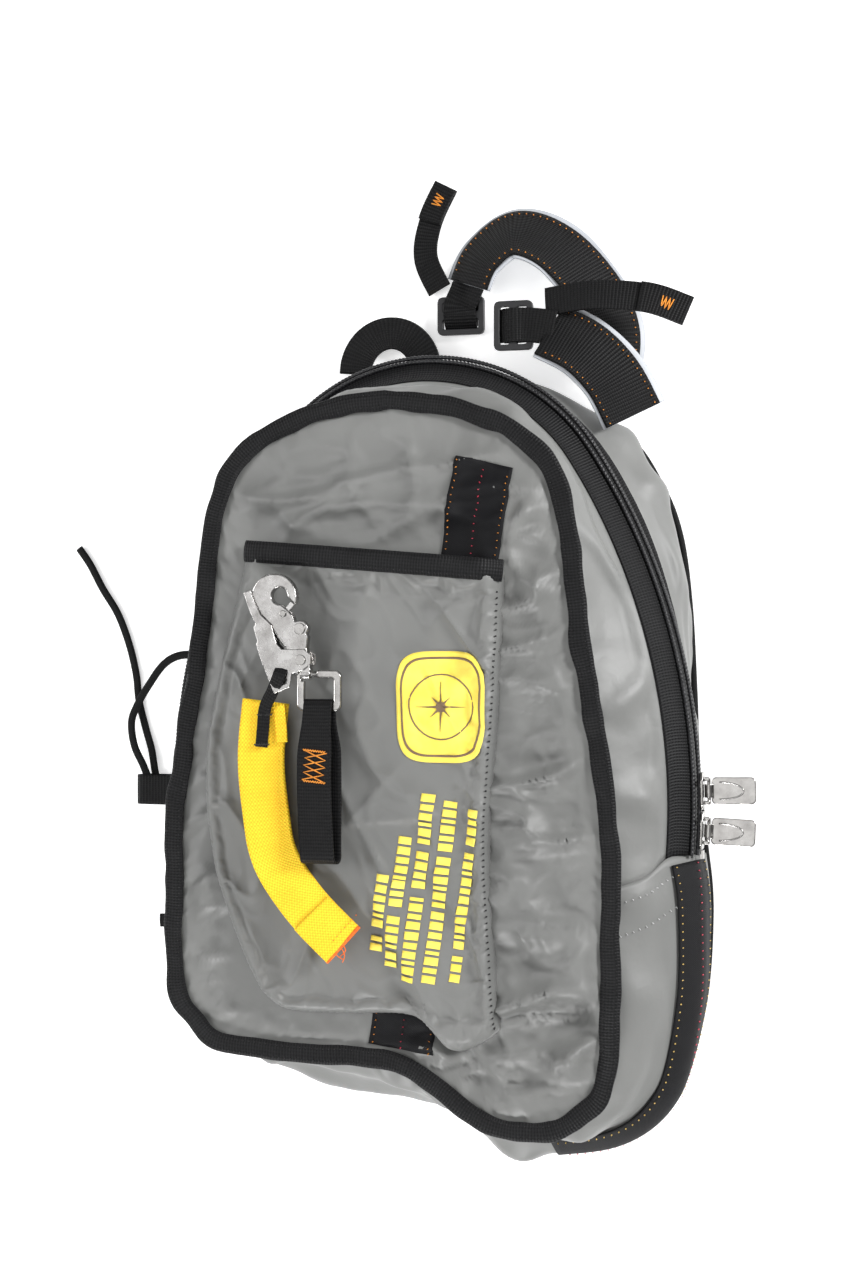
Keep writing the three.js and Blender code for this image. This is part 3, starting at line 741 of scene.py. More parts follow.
def grow(loop: Grid, distance: float) -> Grid:
    """Moves a clockwise outline outwards."""
    along = np.roll(loop, -1, axis=0) - np.roll(loop, 1, axis=0)
    along /= np.linalg.norm(along, axis=1, keepdims=True)
    return loop + np.column_stack([-along[:, 1], along[:, 0]]) * distance


def lift(loop: Grid, z: float) -> Grid:
    """An outline at a height, as 3-D points."""
    return np.column_stack([loop, np.full(len(loop), z)])


BAG = Outlines()
ZIP = BAG.zip_line()
REAR = BAG.rear_line()
FRONT = BAG.front_line()
BACK = grow(REAR, -6.0)
GUSSET = grow(ZIP * 0.38 + FRONT * 0.62, 2.6)
STATIONS = len(ZIP)


def skin(levels: Sequence[tuple[Grid, float]], first: int, last: int, rows: int) -> Grid:
    """A smooth surface through outlines at several heights.

    Args:
        levels: Each outline and its height, from the bottom.
        first: The first station, which may be negative.
        last: The last station.
        rows: The number of rows between the first and last levels.

    Returns:
        Points indexed by station, row and coordinate.
    """
    stations = np.arange(first, last + 1) % STATIONS
    knots = np.stack([lift(loop, z)[stations] for loop, z in levels], axis=1)
    ends = np.concatenate([knots[:, :1], knots, knots[:, -1:]], axis=1)
    place = np.linspace(0.0, len(levels) - 1, rows + 1)
    index = np.minimum(place.astype(int), len(levels) - 2)
    return blend_points(*(ends[:, index + k] for k in range(4)), (place - index)[None, :, None])


def outward(points: Grid) -> Grid:
    """The outward unit normals of a skin."""
    along = np.gradient(points, axis=0)
    up = np.gradient(points, axis=1)
    normal = np.cross(up, along)
    return normal / np.maximum(np.linalg.norm(normal, axis=-1, keepdims=True), 1e-9)


def crumple(points: Grid, depth: float, size: tuple[float, float], seed: float, pucker: float = 0.9,
            calm: Optional[Grid] = None) -> Grid:
    """Crumples a skin: long folds between its seams and small puckers along them.

    Args:
        points: The skin's points.
        depth: The folds' depth in millimetres.
        size: The folds' size along and across the skin.
        seed: Chooses a pattern.
        pucker: The puckers' depth.
        calm: A factor from 0 to 1 on all of it, at each point.

    Returns:
        The moved points.
    """
    along = distances(points)[:, None] * np.ones(points.shape[1])
    across = distances(points.transpose(1, 0, 2))[None, :] * np.ones((points.shape[0], 1))
    plane = np.stack([along, across, np.zeros_like(along)], axis=-1)
    rim = np.minimum(across, across.max() - across)
    slanted = plane + across[..., None] * (0.5, 0, 0)
    large = folds(slanted, (size[0], size[1], 1.0), seed) * smooth(rim / 16.0)
    small = folds(plane, (10.0, 30.0, 1.0), seed + 9.0) * smooth(rim / 2.0) * np.exp(-rim / 11.0)
    move = large * depth + small * pucker
    for axis in (0, 0, 0, 1, 1):
        padded = np.pad(move, [(1, 1) if k == axis else (0, 0) for k in (0, 1)], "edge")
        ahead, behind = (padded[2:], padded[:-2]) if axis == 0 else (padded[:, 2:], padded[:, :-2])
        move = move * 0.5 + (ahead + behind) * 0.25
    if calm is not None:
        move = move * calm
    return points + outward(points) * move[..., None]


# ---------------------------------------------------------------- the shell
SHELL, FLAP = "shell", "flap"


@dataclass(frozen=True)
class Shell:
    """The body behind the zip: back, gussets, piping and side stripes."""

    cloth: float = 0.9
    piping: float = 4.4
    stripe_lift: float = 2.4
    sag_depth: float = 9.0
    sag_middle: float = -28.0
    sag_width: float = 44.0

    def build_back(self) -> None:
        """The quilted back cover, and the foam and liner inside it."""
        centre = np.array([0.0, 10.0])
        share = np.linspace(1.0, 0.0, 50)
        loop = np.vstack([BACK, BACK[:1]])
        plan = centre + (loop - centre)[:, None, :] * share[None, :, None]
        quilt = np.abs(np.sin((plan[..., 0] + plan[..., 1]) * math.pi / 60.0)) ** 0.4
        quilt *= np.abs(np.sin((plan[..., 0] - plan[..., 1]) * math.pi / 60.0)) ** 0.4
        height = 1.1 - quilt * 0.6
        cover = sheet("quilted_back", np.concatenate([plan, height[..., None]], axis=-1), 0.5, 0.0)
        dress(cover, Finish.NYLON, SHELL, ["back_cover"])
        recolour(["back_foam"], Finish.FOAM)
        recolour(["inner_liner"], Finish.LINING)
        cord = tube("piping_cord", lift(grow(BACK, 2.4), 2.4), self.piping, self.piping, 12, True)
        dress(cord, Finish.BRAID, SHELL, ["rear_piping"])

    def side_levels(self) -> list[tuple[Grid, float]]:
        """The wall from the back edge up to the zip."""
        edge = grow(BACK, -0.5)
        return [(edge, 1.8), (grow(BACK, 1.0), 7.0), (REAR, 25.0), (grow(REAR * 0.4 + ZIP * 0.6, 0.6), 39.0)]

    def build_rear_gusset(self) -> None:
        """The wall behind the zip, over the top."""
        points = skin([*self.side_levels(), (ZIP, 46.0)], -BAG.upper, BAG.upper, 40)
        calm = smooth((40.0 - points[..., 2]) / 8.0)
        wall = sheet("nylon_rear_gusset", crumple(points, 3.4, (62.0, 44.0), 3.1, 0.5, calm), self.cloth)
        dress(wall, Finish.NYLON, SHELL, ["rear_gusset"])

    def lower_points(self) -> Grid:
        """The lower gusset's surface, calm under the side stripes."""
        levels = [*self.side_levels(), (ZIP, 52.0), (grow(ZIP, -11.0), 66.0), (GUSSET, 79.0), (FRONT, 91.0)]
        points = skin(levels, BAG.upper, STATIONS - BAG.upper, 70)
        share = np.linspace(0.0, 1.0, points.shape[1])[None, :]
        bell = smooth(share / 0.22) * smooth((1.0 - share) / 0.3)
        below = smooth((-100.0 - points[..., 1]) / 30.0)
        aside = (points[..., 0] - self.sag_middle) / self.sag_width
        points[..., 1] -= self.sag_depth * np.exp(-(aside**2)) * bell * below
        station = np.arange(len(points))
        calm = smooth((station - 50.0) / 14.0) * smooth((len(station) - 50.0 - station) / 14.0)
        low = smooth((points[..., 2] - 66.0) / 8.0)
        calm = np.maximum(calm[:, None], low)
        edge = smooth(np.minimum(station, station[::-1]) / 4.0)[:, None]
        return crumple(points, 4.6, (48.0, 85.0), 5.7, 0.8, calm * edge)

    def build_lower_gusset(self) -> None:
        """The gusset round the bottom, with two rows of seam stitches on each side."""
        points = self.lower_points()
        wall = sheet("nylon_lower_gusset", points, self.cloth)
        dress(wall, Finish.NYLON, None, ["lower_gusset"])
        self.cross_flap(wall)
        normal = outward(points)
        rows = slice(36, 70)
        for side, pick in (("right", lambda step: step), ("left", lambda step: len(points) - 1 - step)):
            seams = []
            for step in (3, 8):
                station = pick(step)
                line = points[station, rows] + normal[station, rows] * 0.5
                seams.append(stitches(f"seam_{side}_{step}", respace(line, 60), 3.0, 1.4))
            seam = joined(f"seam_stitches_{side}", seams)
            dress(seam, Finish.PALE_THREAD, None)
            self.cross_flap(seam)

    @staticmethod
    def cross_flap(piece: Piece) -> None:
        """Bakes a piece's transform into its mesh, leaving it on no body."""
        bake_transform(piece)

    def build_stripes(self) -> None:
        """The black twill stripe on each lower side, with its three rows of stitches."""
        last = STATIONS - BAG.upper
        spans = {"right": (BAG.upper + 1, BAG.upper + 56), "left": (last - 32, last - 1)}
        for side, (first, final) in spans.items():
            levels = [*self.side_levels()[2:], (ZIP, 52.0), (grow(ZIP, -11.0), 66.0)]
            points = skin(levels, first, final, 30)[:, 8:]
            along = np.arange(len(points))
            wave = np.sin(along / 5.0) * 0.5 + np.sin(along / 2.3) * 0.25
            points = points + outward(points) * (self.stripe_lift + wave[:, None, None])
            stripe = sheet(f"stripe_{side}", points, 1.2)
            dress(stripe, Finish.TWILL, None, [f"side_stripe_{side}"])
            self.cross_flap(stripe)
            proud = points + outward(points) * 0.6
            rows = {"gold": [2, points.shape[1] - 3], "red": [points.shape[1] // 2]}
            for colour, columns in rows.items():
                lines = []
                for column in columns:
                    line = proud[:, column].copy()
                    sway = np.sin(along / 6.5) * (1.9 if colour == "red" else 0.3)
                    line += np.gradient(points, axis=1)[:, column] * sway[:, None]
                    lines.append(stitches(f"{colour}_{side}_{column}", line, 3.2, 1.5, 0.9, 0.6))
                row = joined(f"{colour}_stitches_{side}", lines)
                thread = Finish.RED_THREAD if colour == "red" else Finish.GOLD_THREAD
                dress(row, thread, None)
                self.cross_flap(row)

    def build(self) -> None:
        """Builds the shell."""
        self.build_back()
        self.build_rear_gusset()
        self.build_lower_gusset()
        self.build_stripes()


# ---------------------------------------------------------------- the zip
@dataclass(frozen=True)
class Zip:
    """The zip's two tapes, coils, sliders and pulls."""

    pitch: float = 2.4
    coil_out: float = 2.6
    coil_width: float = 3.3

    def coil(self, name: str, out: float, z: float, phase: float, body: str, node: str) -> None:
        """One side's coil: a ridge for each turn.

        Args:
            name: The piece's name.
            out: How far outside the zip's line it runs.
            z: The height of its middle.
            phase: Where its turns start, as a share of the pitch.
            body: The body that it rides on.
            node: The CAD node that it stands for.
        """
        stations = np.arange(-BAG.upper, BAG.upper + 1) % STATIONS
        line = lift(grow(ZIP, out), z)[stations]
        length = distances(line)[-1]
        path = respace(line, int(length / self.pitch * 4))
        turn = np.linspace(0.0, length / self.pitch, len(path)) + phase
        swell = 0.78 + 0.34 * np.abs(np.sin(math.pi * turn))
        coil = tube(name, path, self.coil_out, self.coil_width, 8, False, swell)
        dress(coil, Finish.COIL, body, [node])

    def tape(self, name: str, points: Grid, body: str, node: str, row: int) -> None:
        """One side's tape, with a row of stitches near its edge."""
        proud = points + outward(points) * 1.0
        tape = sheet(name, proud, 0.8)
        dress(tape, Finish.TAPE, body, [node])
        line = (proud + outward(points) * 0.2)[:, row]
        dress(stitches(name + "_stitches", line, 2.4, 0.8, 0.6, 0.4), Finish.BLACK_THREAD, body)

    def build_sliders(self) -> None:
        """The sliders and pulls, with a raised bow on each pull."""
        for place in ("lower", "upper"):
            for part, voxel in ((f"zip_slider_{place}", 0.35), (f"zip_pull_{place}", 0.35)):
                body = f"slider_{place}" if "slider" in part else f"pull_{place}"
                dress(forged(part, voxel, 3), Finish.CHROME, body, [part])
            low, high = (np.array(corner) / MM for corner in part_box(f"zip_pull_{place}"))
            middle = (low + high) / 2
            bow = np.array([(low[0] + 9.0 + 14.0 * math.sin(t), middle[1] - 5.0 * math.cos(t), high[2] - 1.7)
                            for t in np.linspace(0.0, math.pi, 24)])
            dress(tube(f"pull_bow_{place}", bow, 0.9, 0.9, 8), Finish.NICKEL, f"pull_{place}")
        recolour(["zip_stop_right", "zip_stop_left"], Finish.CHROME)

    def build(self) -> None:
        """Builds the zip."""
        first, last = -BAG.upper, BAG.upper
        front = Flap.gusset_points()[:, :14]
        self.tape("tape_front", front, FLAP, "front_zip_tape", 10)
        levels = [(grow(REAR * 0.4 + ZIP * 0.6, 0.6), 39.0), (ZIP, 46.0), (ZIP, 51.0)]
        rear = skin(levels, first, last, 10)[:, 2:]
        self.tape("tape_rear", rear, SHELL, "rear_zip_tape", 2)
        self.coil("coil_front", 0.9, 56.6, 0.0, FLAP, "front_coil")
        self.coil("coil_rear", 3.9, 53.6, 0.5, SHELL, "rear_coil")
        self.build_sliders()


# ---------------------------------------------------------------- the front flap
@dataclass(frozen=True)
class Flap:
    """The front panel, its binding and its gusset."""

    binding_width: float = 11.8
    binding_height: float = 3.2
    middle: tuple[float, float] = (-8.0, 20.0)

    @staticmethod
    def gusset_points() -> Grid:
        """The smooth surface between the zip and the front seam."""
        levels = [(ZIP, 54.6), (grow(ZIP, -12.0), 66.0), (GUSSET, 79.0), (FRONT, 91.0)]
        return skin(levels, -BAG.upper, BAG.upper, 36)

    def build_gusset(self) -> None:
        """The gusset between the zip and the front seam."""
        points = self.gusset_points()
        station = np.arange(len(points))
        calm = smooth(np.minimum(station, station[::-1]) / 5.0)[:, None]
        calm = calm * smooth((np.arange(points.shape[1]) - 13.0) / 7.0)[None, :]
        wall = sheet("nylon_front_gusset", crumple(points, 3.6, (52.0, 60.0), 8.3, 0.8, calm), 0.9)
        dress(wall, Finish.NYLON, FLAP, ["front_gusset"])

    def panel_height(self, plan: Grid) -> Grid:
        """The front panel's height away from its seam, before it puckers there."""
        x, y = plan[..., 0], plan[..., 1]
        under = smooth((x + 128.0) / 25.0) * smooth((50.0 - x) / 18.0)
        under = under * smooth((y + 160.0) / 22.0) * smooth((150.0 - y) / 20.0)
        plane = np.stack([x * 0.6 + y * 0.15, y - x * 0.12, np.zeros_like(x)], axis=-1)
        wave = folds(plane, (52.0, 27.0, 1.0), 2.3) * 4.2 + folds(plane, (26.0, 60.0, 1.0), 7.9) * 2.0
        low, right = smooth((-112.0 - y) / 22.0), smooth((x - 60.0) / 12.0)
        wave = wave * (1.0 + 1.3 * low + 0.35 * right)
        return (4.0 + wave) * (1.0 - under) + under * 1.2

    def build_panel(self) -> None:
        """The front panel, from its seam to its middle."""
        loop = np.vstack([FRONT, FRONT[:1]])
        share = 1.0 - np.linspace(0.0, 1.0, 70) ** 1.15
        plan = np.array(self.middle) + (loop - self.middle)[:, None, :] * share[None, :, None]
        reach = np.linalg.norm(loop - self.middle, axis=1)[:, None]
        rim = (1.0 - share)[None, :] * reach
        root = np.broadcast_to(loop[:, None, :], plan.shape)
        pucker = folds(np.concatenate([root, rim[..., None]], axis=-1), (8.5, 8.5, 40.0), 4.4)
        height = 92.0 + self.panel_height(plan) * smooth((rim - 5.0) / 26.0)
        height = height + pucker * 1.5 * smooth(rim / 3.0) * np.exp(-rim / 16.0)
        panel = sheet("nylon_front_panel", np.concatenate([plan, height[..., None]], axis=-1), 0.7)
        dress(panel, Finish.NYLON, FLAP, ["front_panel"])

    def build_binding(self) -> None:
        """The ribbed tape folded over the front seam, with two rows of stitches."""
        centre = lift(FRONT, 94.0)
        probe = centre.copy()
        centre[:, 2] += ripple(probe, (16.0, 16.0, 1.0), 3.0) * 0.9
        for axis, seed in enumerate((5.0, 8.0)):
            centre[:, axis] += ripple(probe, (22.0, 22.0, 1.0), seed) * 1.3
        swell = 1.0 + ripple(probe, (14.0, 14.0, 1.0), 12.0) * 0.16
        tape = tube("binding", centre, self.binding_width, self.binding_height, 16, True, swell)
        dress(tape, Finish.TAPE, FLAP, ["front_binding"])
        rows = []
        for index, side in enumerate((-3.6, 3.6)):
            line = np.column_stack([grow(centre[:, :2], side), centre[:, 2] + self.binding_height / 2 - 0.35])
            rows.append(stitches(f"binding_row_{index}", np.vstack([line, line[:1]]), 2.6, 1.0, 0.6, 0.5))
        dress(joined("binding_stitches", rows), Finish.BLACK_THREAD, FLAP)

    def build_stripe(self) -> None:
        """The black stripe that shows above and below the pocket, with coloured stitches."""
        panel = floor_of(bpy.data.objects["nylon_front_panel"])
        ends = np.array([[(-26.0, -159.0), (14.0, -164.0)], [(28.0, 188.0), (62.0, 180.0)]])
        share = np.linspace(0.0, 1.0, 120)[:, None, None]
        rails = ends[0] + (ends[1] - ends[0]) * share
        across = np.linspace(0.0, 1.0, 17)[None, :, None]
        plan = rails[:, :1] + (rails[:, 1:] - rails[:, :1]) * across
        height = np.array([[panel(*p) + 0.9 for p in row] for row in plan])
        points = np.concatenate([plan, height[..., None]], axis=-1)
        dress(sheet("stripe_front", points, 0.9), Finish.TWILL, FLAP, ["front_stripe"])
        for colour, finish, columns in (("orange", Finish.ORANGE_THREAD, (1, 15)),
                                        ("red", Finish.RED_THREAD, (8,))):
            rows = [stitches(f"front_{colour}_{c}", points[:, c] + (0, 0, 0.3), 3.0, 1.4, 0.8, 0.5)
                    for c in columns]
            dress(joined(f"front_stripe_{colour}_stitches", rows), finish, FLAP)

    def build(self) -> None:
        """Builds the flap."""
        self.build_gusset()
        self.build_panel()
        self.build_binding()
        self.build_stripe()


# ---------------------------------------------------------------- the pocket
@dataclass(frozen=True)
class Crease:
    """One fold on the pocket, from one place to another."""

    start: tuple[float, float]
    end: tuple[float, float]
    height: float
    width: float
    step: float = 0.0

    def height_at(self, x: Grid, y: Grid) -> Grid:
        """How far the fold lifts each place, in millimetres."""
        a, b = np.array(self.start), np.array(self.end)
        run = b - a
        length = np.linalg.norm(run)
        run = run / length
        along = (x - a[0]) * run[0] + (y - a[1]) * run[1]
        aside = (y - a[1]) * run[0] - (x - a[0]) * run[1]
        ends = smooth((along + 14.0) / 28.0) * smooth((length + 14.0 - along) / 28.0)
        ridge = np.exp(-np.abs(aside) / self.width) * self.height
        return (ridge + self.step * np.tanh(aside / 3.5) * np.exp(-np.abs(aside) / 30.0)) * ends


@dataclass(frozen=True)
class Pocket:
    """The loose patch pocket with its mouth tape, seam thread, patch and bars.

    Attributes:
        top, floor: The heights of its full face and of the panel under it.
        width, length: About how wide and how long it is.
        left, right, bottom, mouth: Its four edges in plan.
        settling: How many steps its cloth settles for.
        seam_hold: How far from a seam the cloth is held.
        mouth_hold: The band held at the mouth, the width it fades over and how firm it is.
        furthest, drop, rise: How far the cloth may move sideways, down and up as it settles.
        ceiling: The height it may not pass.
    """

    top: float = 110.6
    width: float = 165.0
    length: float = 280.0
    left: tuple = ((-87, -134), (-102, -110), (-119, -66), (-127, -16), (-125, 30), (-114, 80), (-99, 139))
    right: tuple = ((55, -146), (52, -100), (49, -50), (50, -12), (54, 45), (58, 126))
    bottom: tuple = ((-87, -134), (-71, -141), (-35, -141), (-4, -140), (11, -145), (27, -160), (44, -155),
                     (55, -146))
    mouth: tuple = ((-99, 139), (-60, 136), (0, 131), (58, 126))
    creases: tuple = (
        Crease((56, 116), (14, 89), 3.0, 6.0, 0.9), Crease((54, 100), (-24, 103), 2.0, 7.0),
        Crease((-25, 112), (-31, 70), 2.2, 7.0, -0.8), Crease((-36, -27), (14, -23), 2.4, 5.0, 0.8),
        Crease((-38, -30), (-6, 6), 1.8, 5.0), Crease((-20, -70), (22, -162), 3.2, 4.0, 3.4),
        Crease((-14, -66), (40, -48), 1.8, 6.0), Crease((-56, -100), (-63, -138), 2.4, 6.0, -1.0),
        Crease((-100, -88), (-76, -136), 2.6, 6.0), Crease((46, -60), (20, -98), 1.6, 5.0),
        Crease((52, -18), (28, -2), 1.6, 4.0), Crease((-112, 40), (-84, 84), 1.8, 8.0),
        Crease((50, 70), (24, 50), 1.6, 5.0), Crease((-92, 60), (-96, -30), 1.4, 9.0),
        Crease((44, -110), (30, -150), 2.0, 5.0, -1.2),
    )
    patch: tuple[float, float] = (21.0, 41.0)
    patch_size: tuple[float, float] = (27.0, 32.5)
    floor: float = 94.8
    settling: int = 22
    seam_hold: float = 8.0
    mouth_hold: tuple[float, float, float] = (6.0, 10.0, 0.95)
    furthest: float = 6.0
    drop: float = 5.0
    rise: float = 2.0
    ceiling: float = 111.8

    def plan(self, across: int, up: int) -> Grid:
        """The pocket's places in plan, between its four edges."""
        west, east = curve(self.left, up), curve(self.right, up)
        south, north = curve(self.bottom, across), curve(self.mouth, across)
        u = np.linspace(0.0, 1.0, across + 1)[:, None, None]
        v = np.linspace(0.0, 1.0, up + 1)[None, :, None]
        sides = west[None] * (1 - u) + east[None] * u
        ends = south[:, None] * (1 - v) + north[:, None] * v
        corners = ((1 - u) * ((1 - v) * west[0] + v * west[-1]) + u * ((1 - v) * east[0] + v * east[-1]))
        return sides + ends - corners

    def surface(self) -> Grid:
        """The pocket's outer face: full, rolled under at its seams and open at its mouth."""
        plan = self.plan(110, 190)
        u = np.linspace(0.0, 1.0, plan.shape[0])[:, None]
        v = np.linspace(0.0, 1.0, plan.shape[1])[None, :]

        def roll(distance: Grid, radius: float) -> Grid:
            """A quarter round that rises over a radius."""
            return np.sqrt(np.clip(1.0 - (1.0 - np.clip(distance / radius, 0.0, 1.0)) ** 2, 0.0, 1.0))

        from_left, from_right, from_bottom = u * self.width, (1 - u) * self.width, v * self.length
        full = roll(from_left, 17.0) * roll(from_right, 9.0) * roll(from_bottom, 13.0)
        x, y = plan[..., 0], plan[..., 1]
        plane = np.stack([x, y, np.zeros_like(x)], axis=-1)
        slanted = plane + (0.4 * y)[..., None] * (1, 0, 0)
        soft = ripple(plane, (55.0, 80.0, 1.0), 1.7) * 3.0 + folds(slanted, (40.0, 64.0, 1.0), 6.1) * 2.2
        laid = sum(crease.height_at(x, y) for crease in self.creases)
        height = self.floor + (self.top - self.floor + np.minimum(soft + laid - 3.0, 1.2)) * full
        rim = np.minimum(np.minimum(from_left, from_right), from_bottom)
        along_seam = np.stack([y, from_left + 0 * y, 0 * y], axis=-1)
        seam = folds(along_seam, (8.0, 30.0, 1.0), 3.3)
        height = height + seam * 1.4 * np.exp(-np.abs(from_right - 5.0) / 9.0) * smooth(rim / 3.0)
        return np.concatenate([plan, height[..., None]], axis=-1)

    def settle(self, pocket: Piece, pinned: Grid) -> None:
        """Lets the slack cloth fall into its own wrinkles between its seams.

        Args:
            pocket: The pocket's sheet, with no thickness yet.
            pinned: How firmly each vertex is held, from 0 to 1.
        """
        group = pocket.vertex_groups.new(name="seams")
        for index, weight in enumerate(pinned):
            if weight > 0.0:
                group.add([index], float(weight), "REPLACE")
        activate(pocket)
        cloth = pocket.modifiers.new("Cloth", "CLOTH")
        settings = cloth.settings
        settings.vertex_group_mass = "seams"
        settings.quality = 6
        settings.mass = 0.12
        settings.tension_stiffness = settings.compression_stiffness = 18.0
        settings.shear_stiffness = 6.0
        settings.bending_stiffness = 0.08
        settings.shrink_min = -0.022
        settings.use_pressure = False
        settings.effector_weights.gravity = 0.12
        cloth.collision_settings.use_collision = False
        cloth.point_cache.frame_start, cloth.point_cache.frame_end = 1, self.settling
        for step in range(1, self.settling + 1):
            bpy.context.scene.frame_set(step)
        bpy.ops.object.modifier_apply(modifier=cloth.name)
        bpy.context.scene.frame_set(1)

    def build_cloth(self) -> Piece:
        """The pocket's cloth."""
        points = self.surface()
        pocket = sheet("pocket", points)
        start = places(pocket)
        seams = np.vstack([points[0], points[-1], points[:, 0]])[::3] * MM
        mouth = points[::2, -1] * MM
        gap, near = (np.min(np.linalg.norm(start[:, None, :2] - edge[None, :, :2], axis=-1), axis=1)
                     for edge in (seams, mouth))
        band, fade, grip = self.mouth_hold
        held = grip * (1.0 - smooth((near - band * MM) / (fade * MM)))
        hold = np.maximum(1.0 - smooth(gap / (self.seam_hold * MM)), held)
        self.settle(pocket, np.clip(hold, 0.0, 1.0))
        shift = np.clip(places(pocket) - start, -self.furthest * MM, self.furthest * MM)
        shift[:, 2] = np.clip(shift[:, 2], -self.drop * MM, self.rise * MM)
        final = start + shift
        final[:, 2] = np.minimum(final[:, 2], self.ceiling * MM)
        pocket.data.vertices.foreach_set("co", final.ravel())
        pocket.data.update()
        apply_modifier(pocket, "SOLIDIFY", thickness=0.8 * MM, offset=-1.0)
        shade(pocket)
        return dress(pocket, Finish.NYLON, FLAP, ["front_pocket"])

    def build_mouth(self, height: Callable[[float, float], float]) -> None:
        """The tape folded over the mouth, and its stitches."""
        line = curve(self.mouth, 90)
        centre = np.column_stack([line, np.zeros(len(line))])
        centre[:, 1] -= 6.0
        reach = (-6.0, -4.0, -2.0, 0.0, 2.0, 4.0)
        centre[:, 2] = [max(height(x, y + k) for k in reach) for x, y in centre[:, :2]]
        centre[:, 2] = np.convolve(np.pad(centre[:, 2], 4, "edge"), np.ones(9) / 9, "valid") + 0.5
        tape = tube("pocket_mouth_tape", centre, 13.0, 3.4, 14)
        dress(tape, Finish.TAPE, FLAP, ["pocket_binding"])
        row = centre + (0.0, -4.4, 1.15)
        dress(stitches("mouth_stitches", row, 2.6, 1.0, 0.6, 0.5), Finish.BLACK_THREAD, FLAP)

    def build_seam(self, height: Callable[[float, float], float]) -> None:
        """The black thread down the pocket's right edge and round its lower corner."""
        line = curve(self.right, 120)[:-6]
        line[:, 0] -= 2.2
        path = np.column_stack([line, [height(*p) + 0.5 for p in line]])
        dress(stitches("pocket_seam_stitches", path, 3.2, 0.5, 1.3, 1.0), Finish.BLACK_THREAD, FLAP)

    @staticmethod
    def drape(name: str, plan: Grid, height: Callable[[float, float], float], rise: float,
              thickness: float) -> Piece:
        """A thin piece that follows the pocket's face."""
        near = ((0.0, 0.0), (1.3, 0.0), (-1.3, 0.0), (0.0, 1.3), (0.0, -1.3))
        z = np.array([[max(height(x + a, y + b) for a, b in near) + rise for x, y in row] for row in plan])
        return sheet(name, np.concatenate([plan, z[..., None]], axis=-1), thickness)

    def badge(self, name: str, inner: float, outer: float, height: Callable[[float, float], float],
              rise: float) -> Piece:
        """A rounded frame or plate on the patch's outline, from one share of its size to another."""
        turn = np.linspace(0.0, 2.0 * math.pi, 97)
        power = 0.5
        x = np.sign(np.cos(turn)) * np.abs(np.cos(turn)) ** power * self.patch_size[0]
        y = np.sign(np.sin(turn)) * np.abs(np.sin(turn)) ** power * self.patch_size[1]
        loop = np.column_stack([x, y])
        share = np.linspace(outer, inner, 3 if inner else 20)
        plan = np.array(self.patch) + loop[:, None] * share[None, :, None]
        return self.drape(name, plan, height, rise, 0.25)

    def build_patch(self, height: Callable[[float, float], float]) -> None:
        """A plain patch with a ring and a compass star."""
        plate = self.badge("patch", 0.0, 1.0, height, 0.5)
        dress(plate, Finish.PRINT, FLAP, ["emblem_patch"])
        ring = self.badge("patch_ring", 0.86, 0.9, height, 0.85)
        turn = np.linspace(0.0, 2.0 * math.pi, 33)
        spokes = np.where(np.arange(33) % 8 == 0, 15.0, np.where(np.arange(33) % 4 == 0, 8.5, 3.2))
        star = np.column_stack([np.sin(turn), np.cos(turn)]) * spokes[:, None]
        plan = np.array(self.patch) + star[:, None] * np.linspace(1.0, 0.0, 6)[None, :, None]
        rose = self.drape("patch_star", plan, height, 0.95, 0.2)
        circle = np.column_stack([np.sin(turn), np.cos(turn)])
        plan = np.array(self.patch) + circle[:, None] * np.array([19.4, 18.6])[None, :, None]
        hoop = self.drape("patch_hoop", plan, height, 0.85, 0.2)
        dress(joined("patch_marks", [ring, rose, hoop]), Finish.PRINT_DARK, FLAP)

    def build_bars(self, height: Callable[[float, float], float]) -> None:
        """Rows of plain printed bars."""
        rows = (
            ((-15.0, -103.0), 44.0, 7.6, (11, 17, 9)), ((-6.0, -112.0), 78.0, 7.8, (8, 21, 12, 26)),
            ((5.0, -120.0), 107.0, 8.0, (27, 20, 22, 26)), ((18.5, -120.0), 107.0, 8.2, (39, 28, 30)),
            ((32.5, -119.0), 98.0, 6.2, (16, 40, 14, 18)),
        )
        heading = np.array([0.115, 0.993])
        aside = np.array([heading[1], -heading[0]])
        cells, gap = (4.4, 3.0, 4.6, 2.0, 4.2, 3.6, 4.6), 1.5
        bars = []
        for start, length, tall, lengths in rows:
            space = (length - sum(lengths)) / (len(lengths) - 1)
            place = 0.0
            for size in lengths:
                reach = place
                while reach < place + size - 1.0:
                    cell = cells[len(bars) % len(cells)]
                    u = reach + np.linspace(0.0, cell, 4)
                    reach += cell + gap
                    v = np.linspace(tall, 0.0, 6) - tall
                    plan = np.array(start) + u[:, None, None] * heading + v[None, :, None] * aside
                    bars.append(self.drape(f"bar_{len(bars)}", plan[::-1], height, 0.3, 0.2))
                place += size + space
        dress(joined("printed_bars", bars), Finish.PRINT, FLAP)

    def build(self) -> Callable[[float, float], float]:
        """Builds the pocket and returns its height function."""
        height = floor_of(self.build_cloth())
        self.build_mouth(height)
        self.build_seam(height)
        self.build_patch(height)
        self.build_bars(height)
        return height


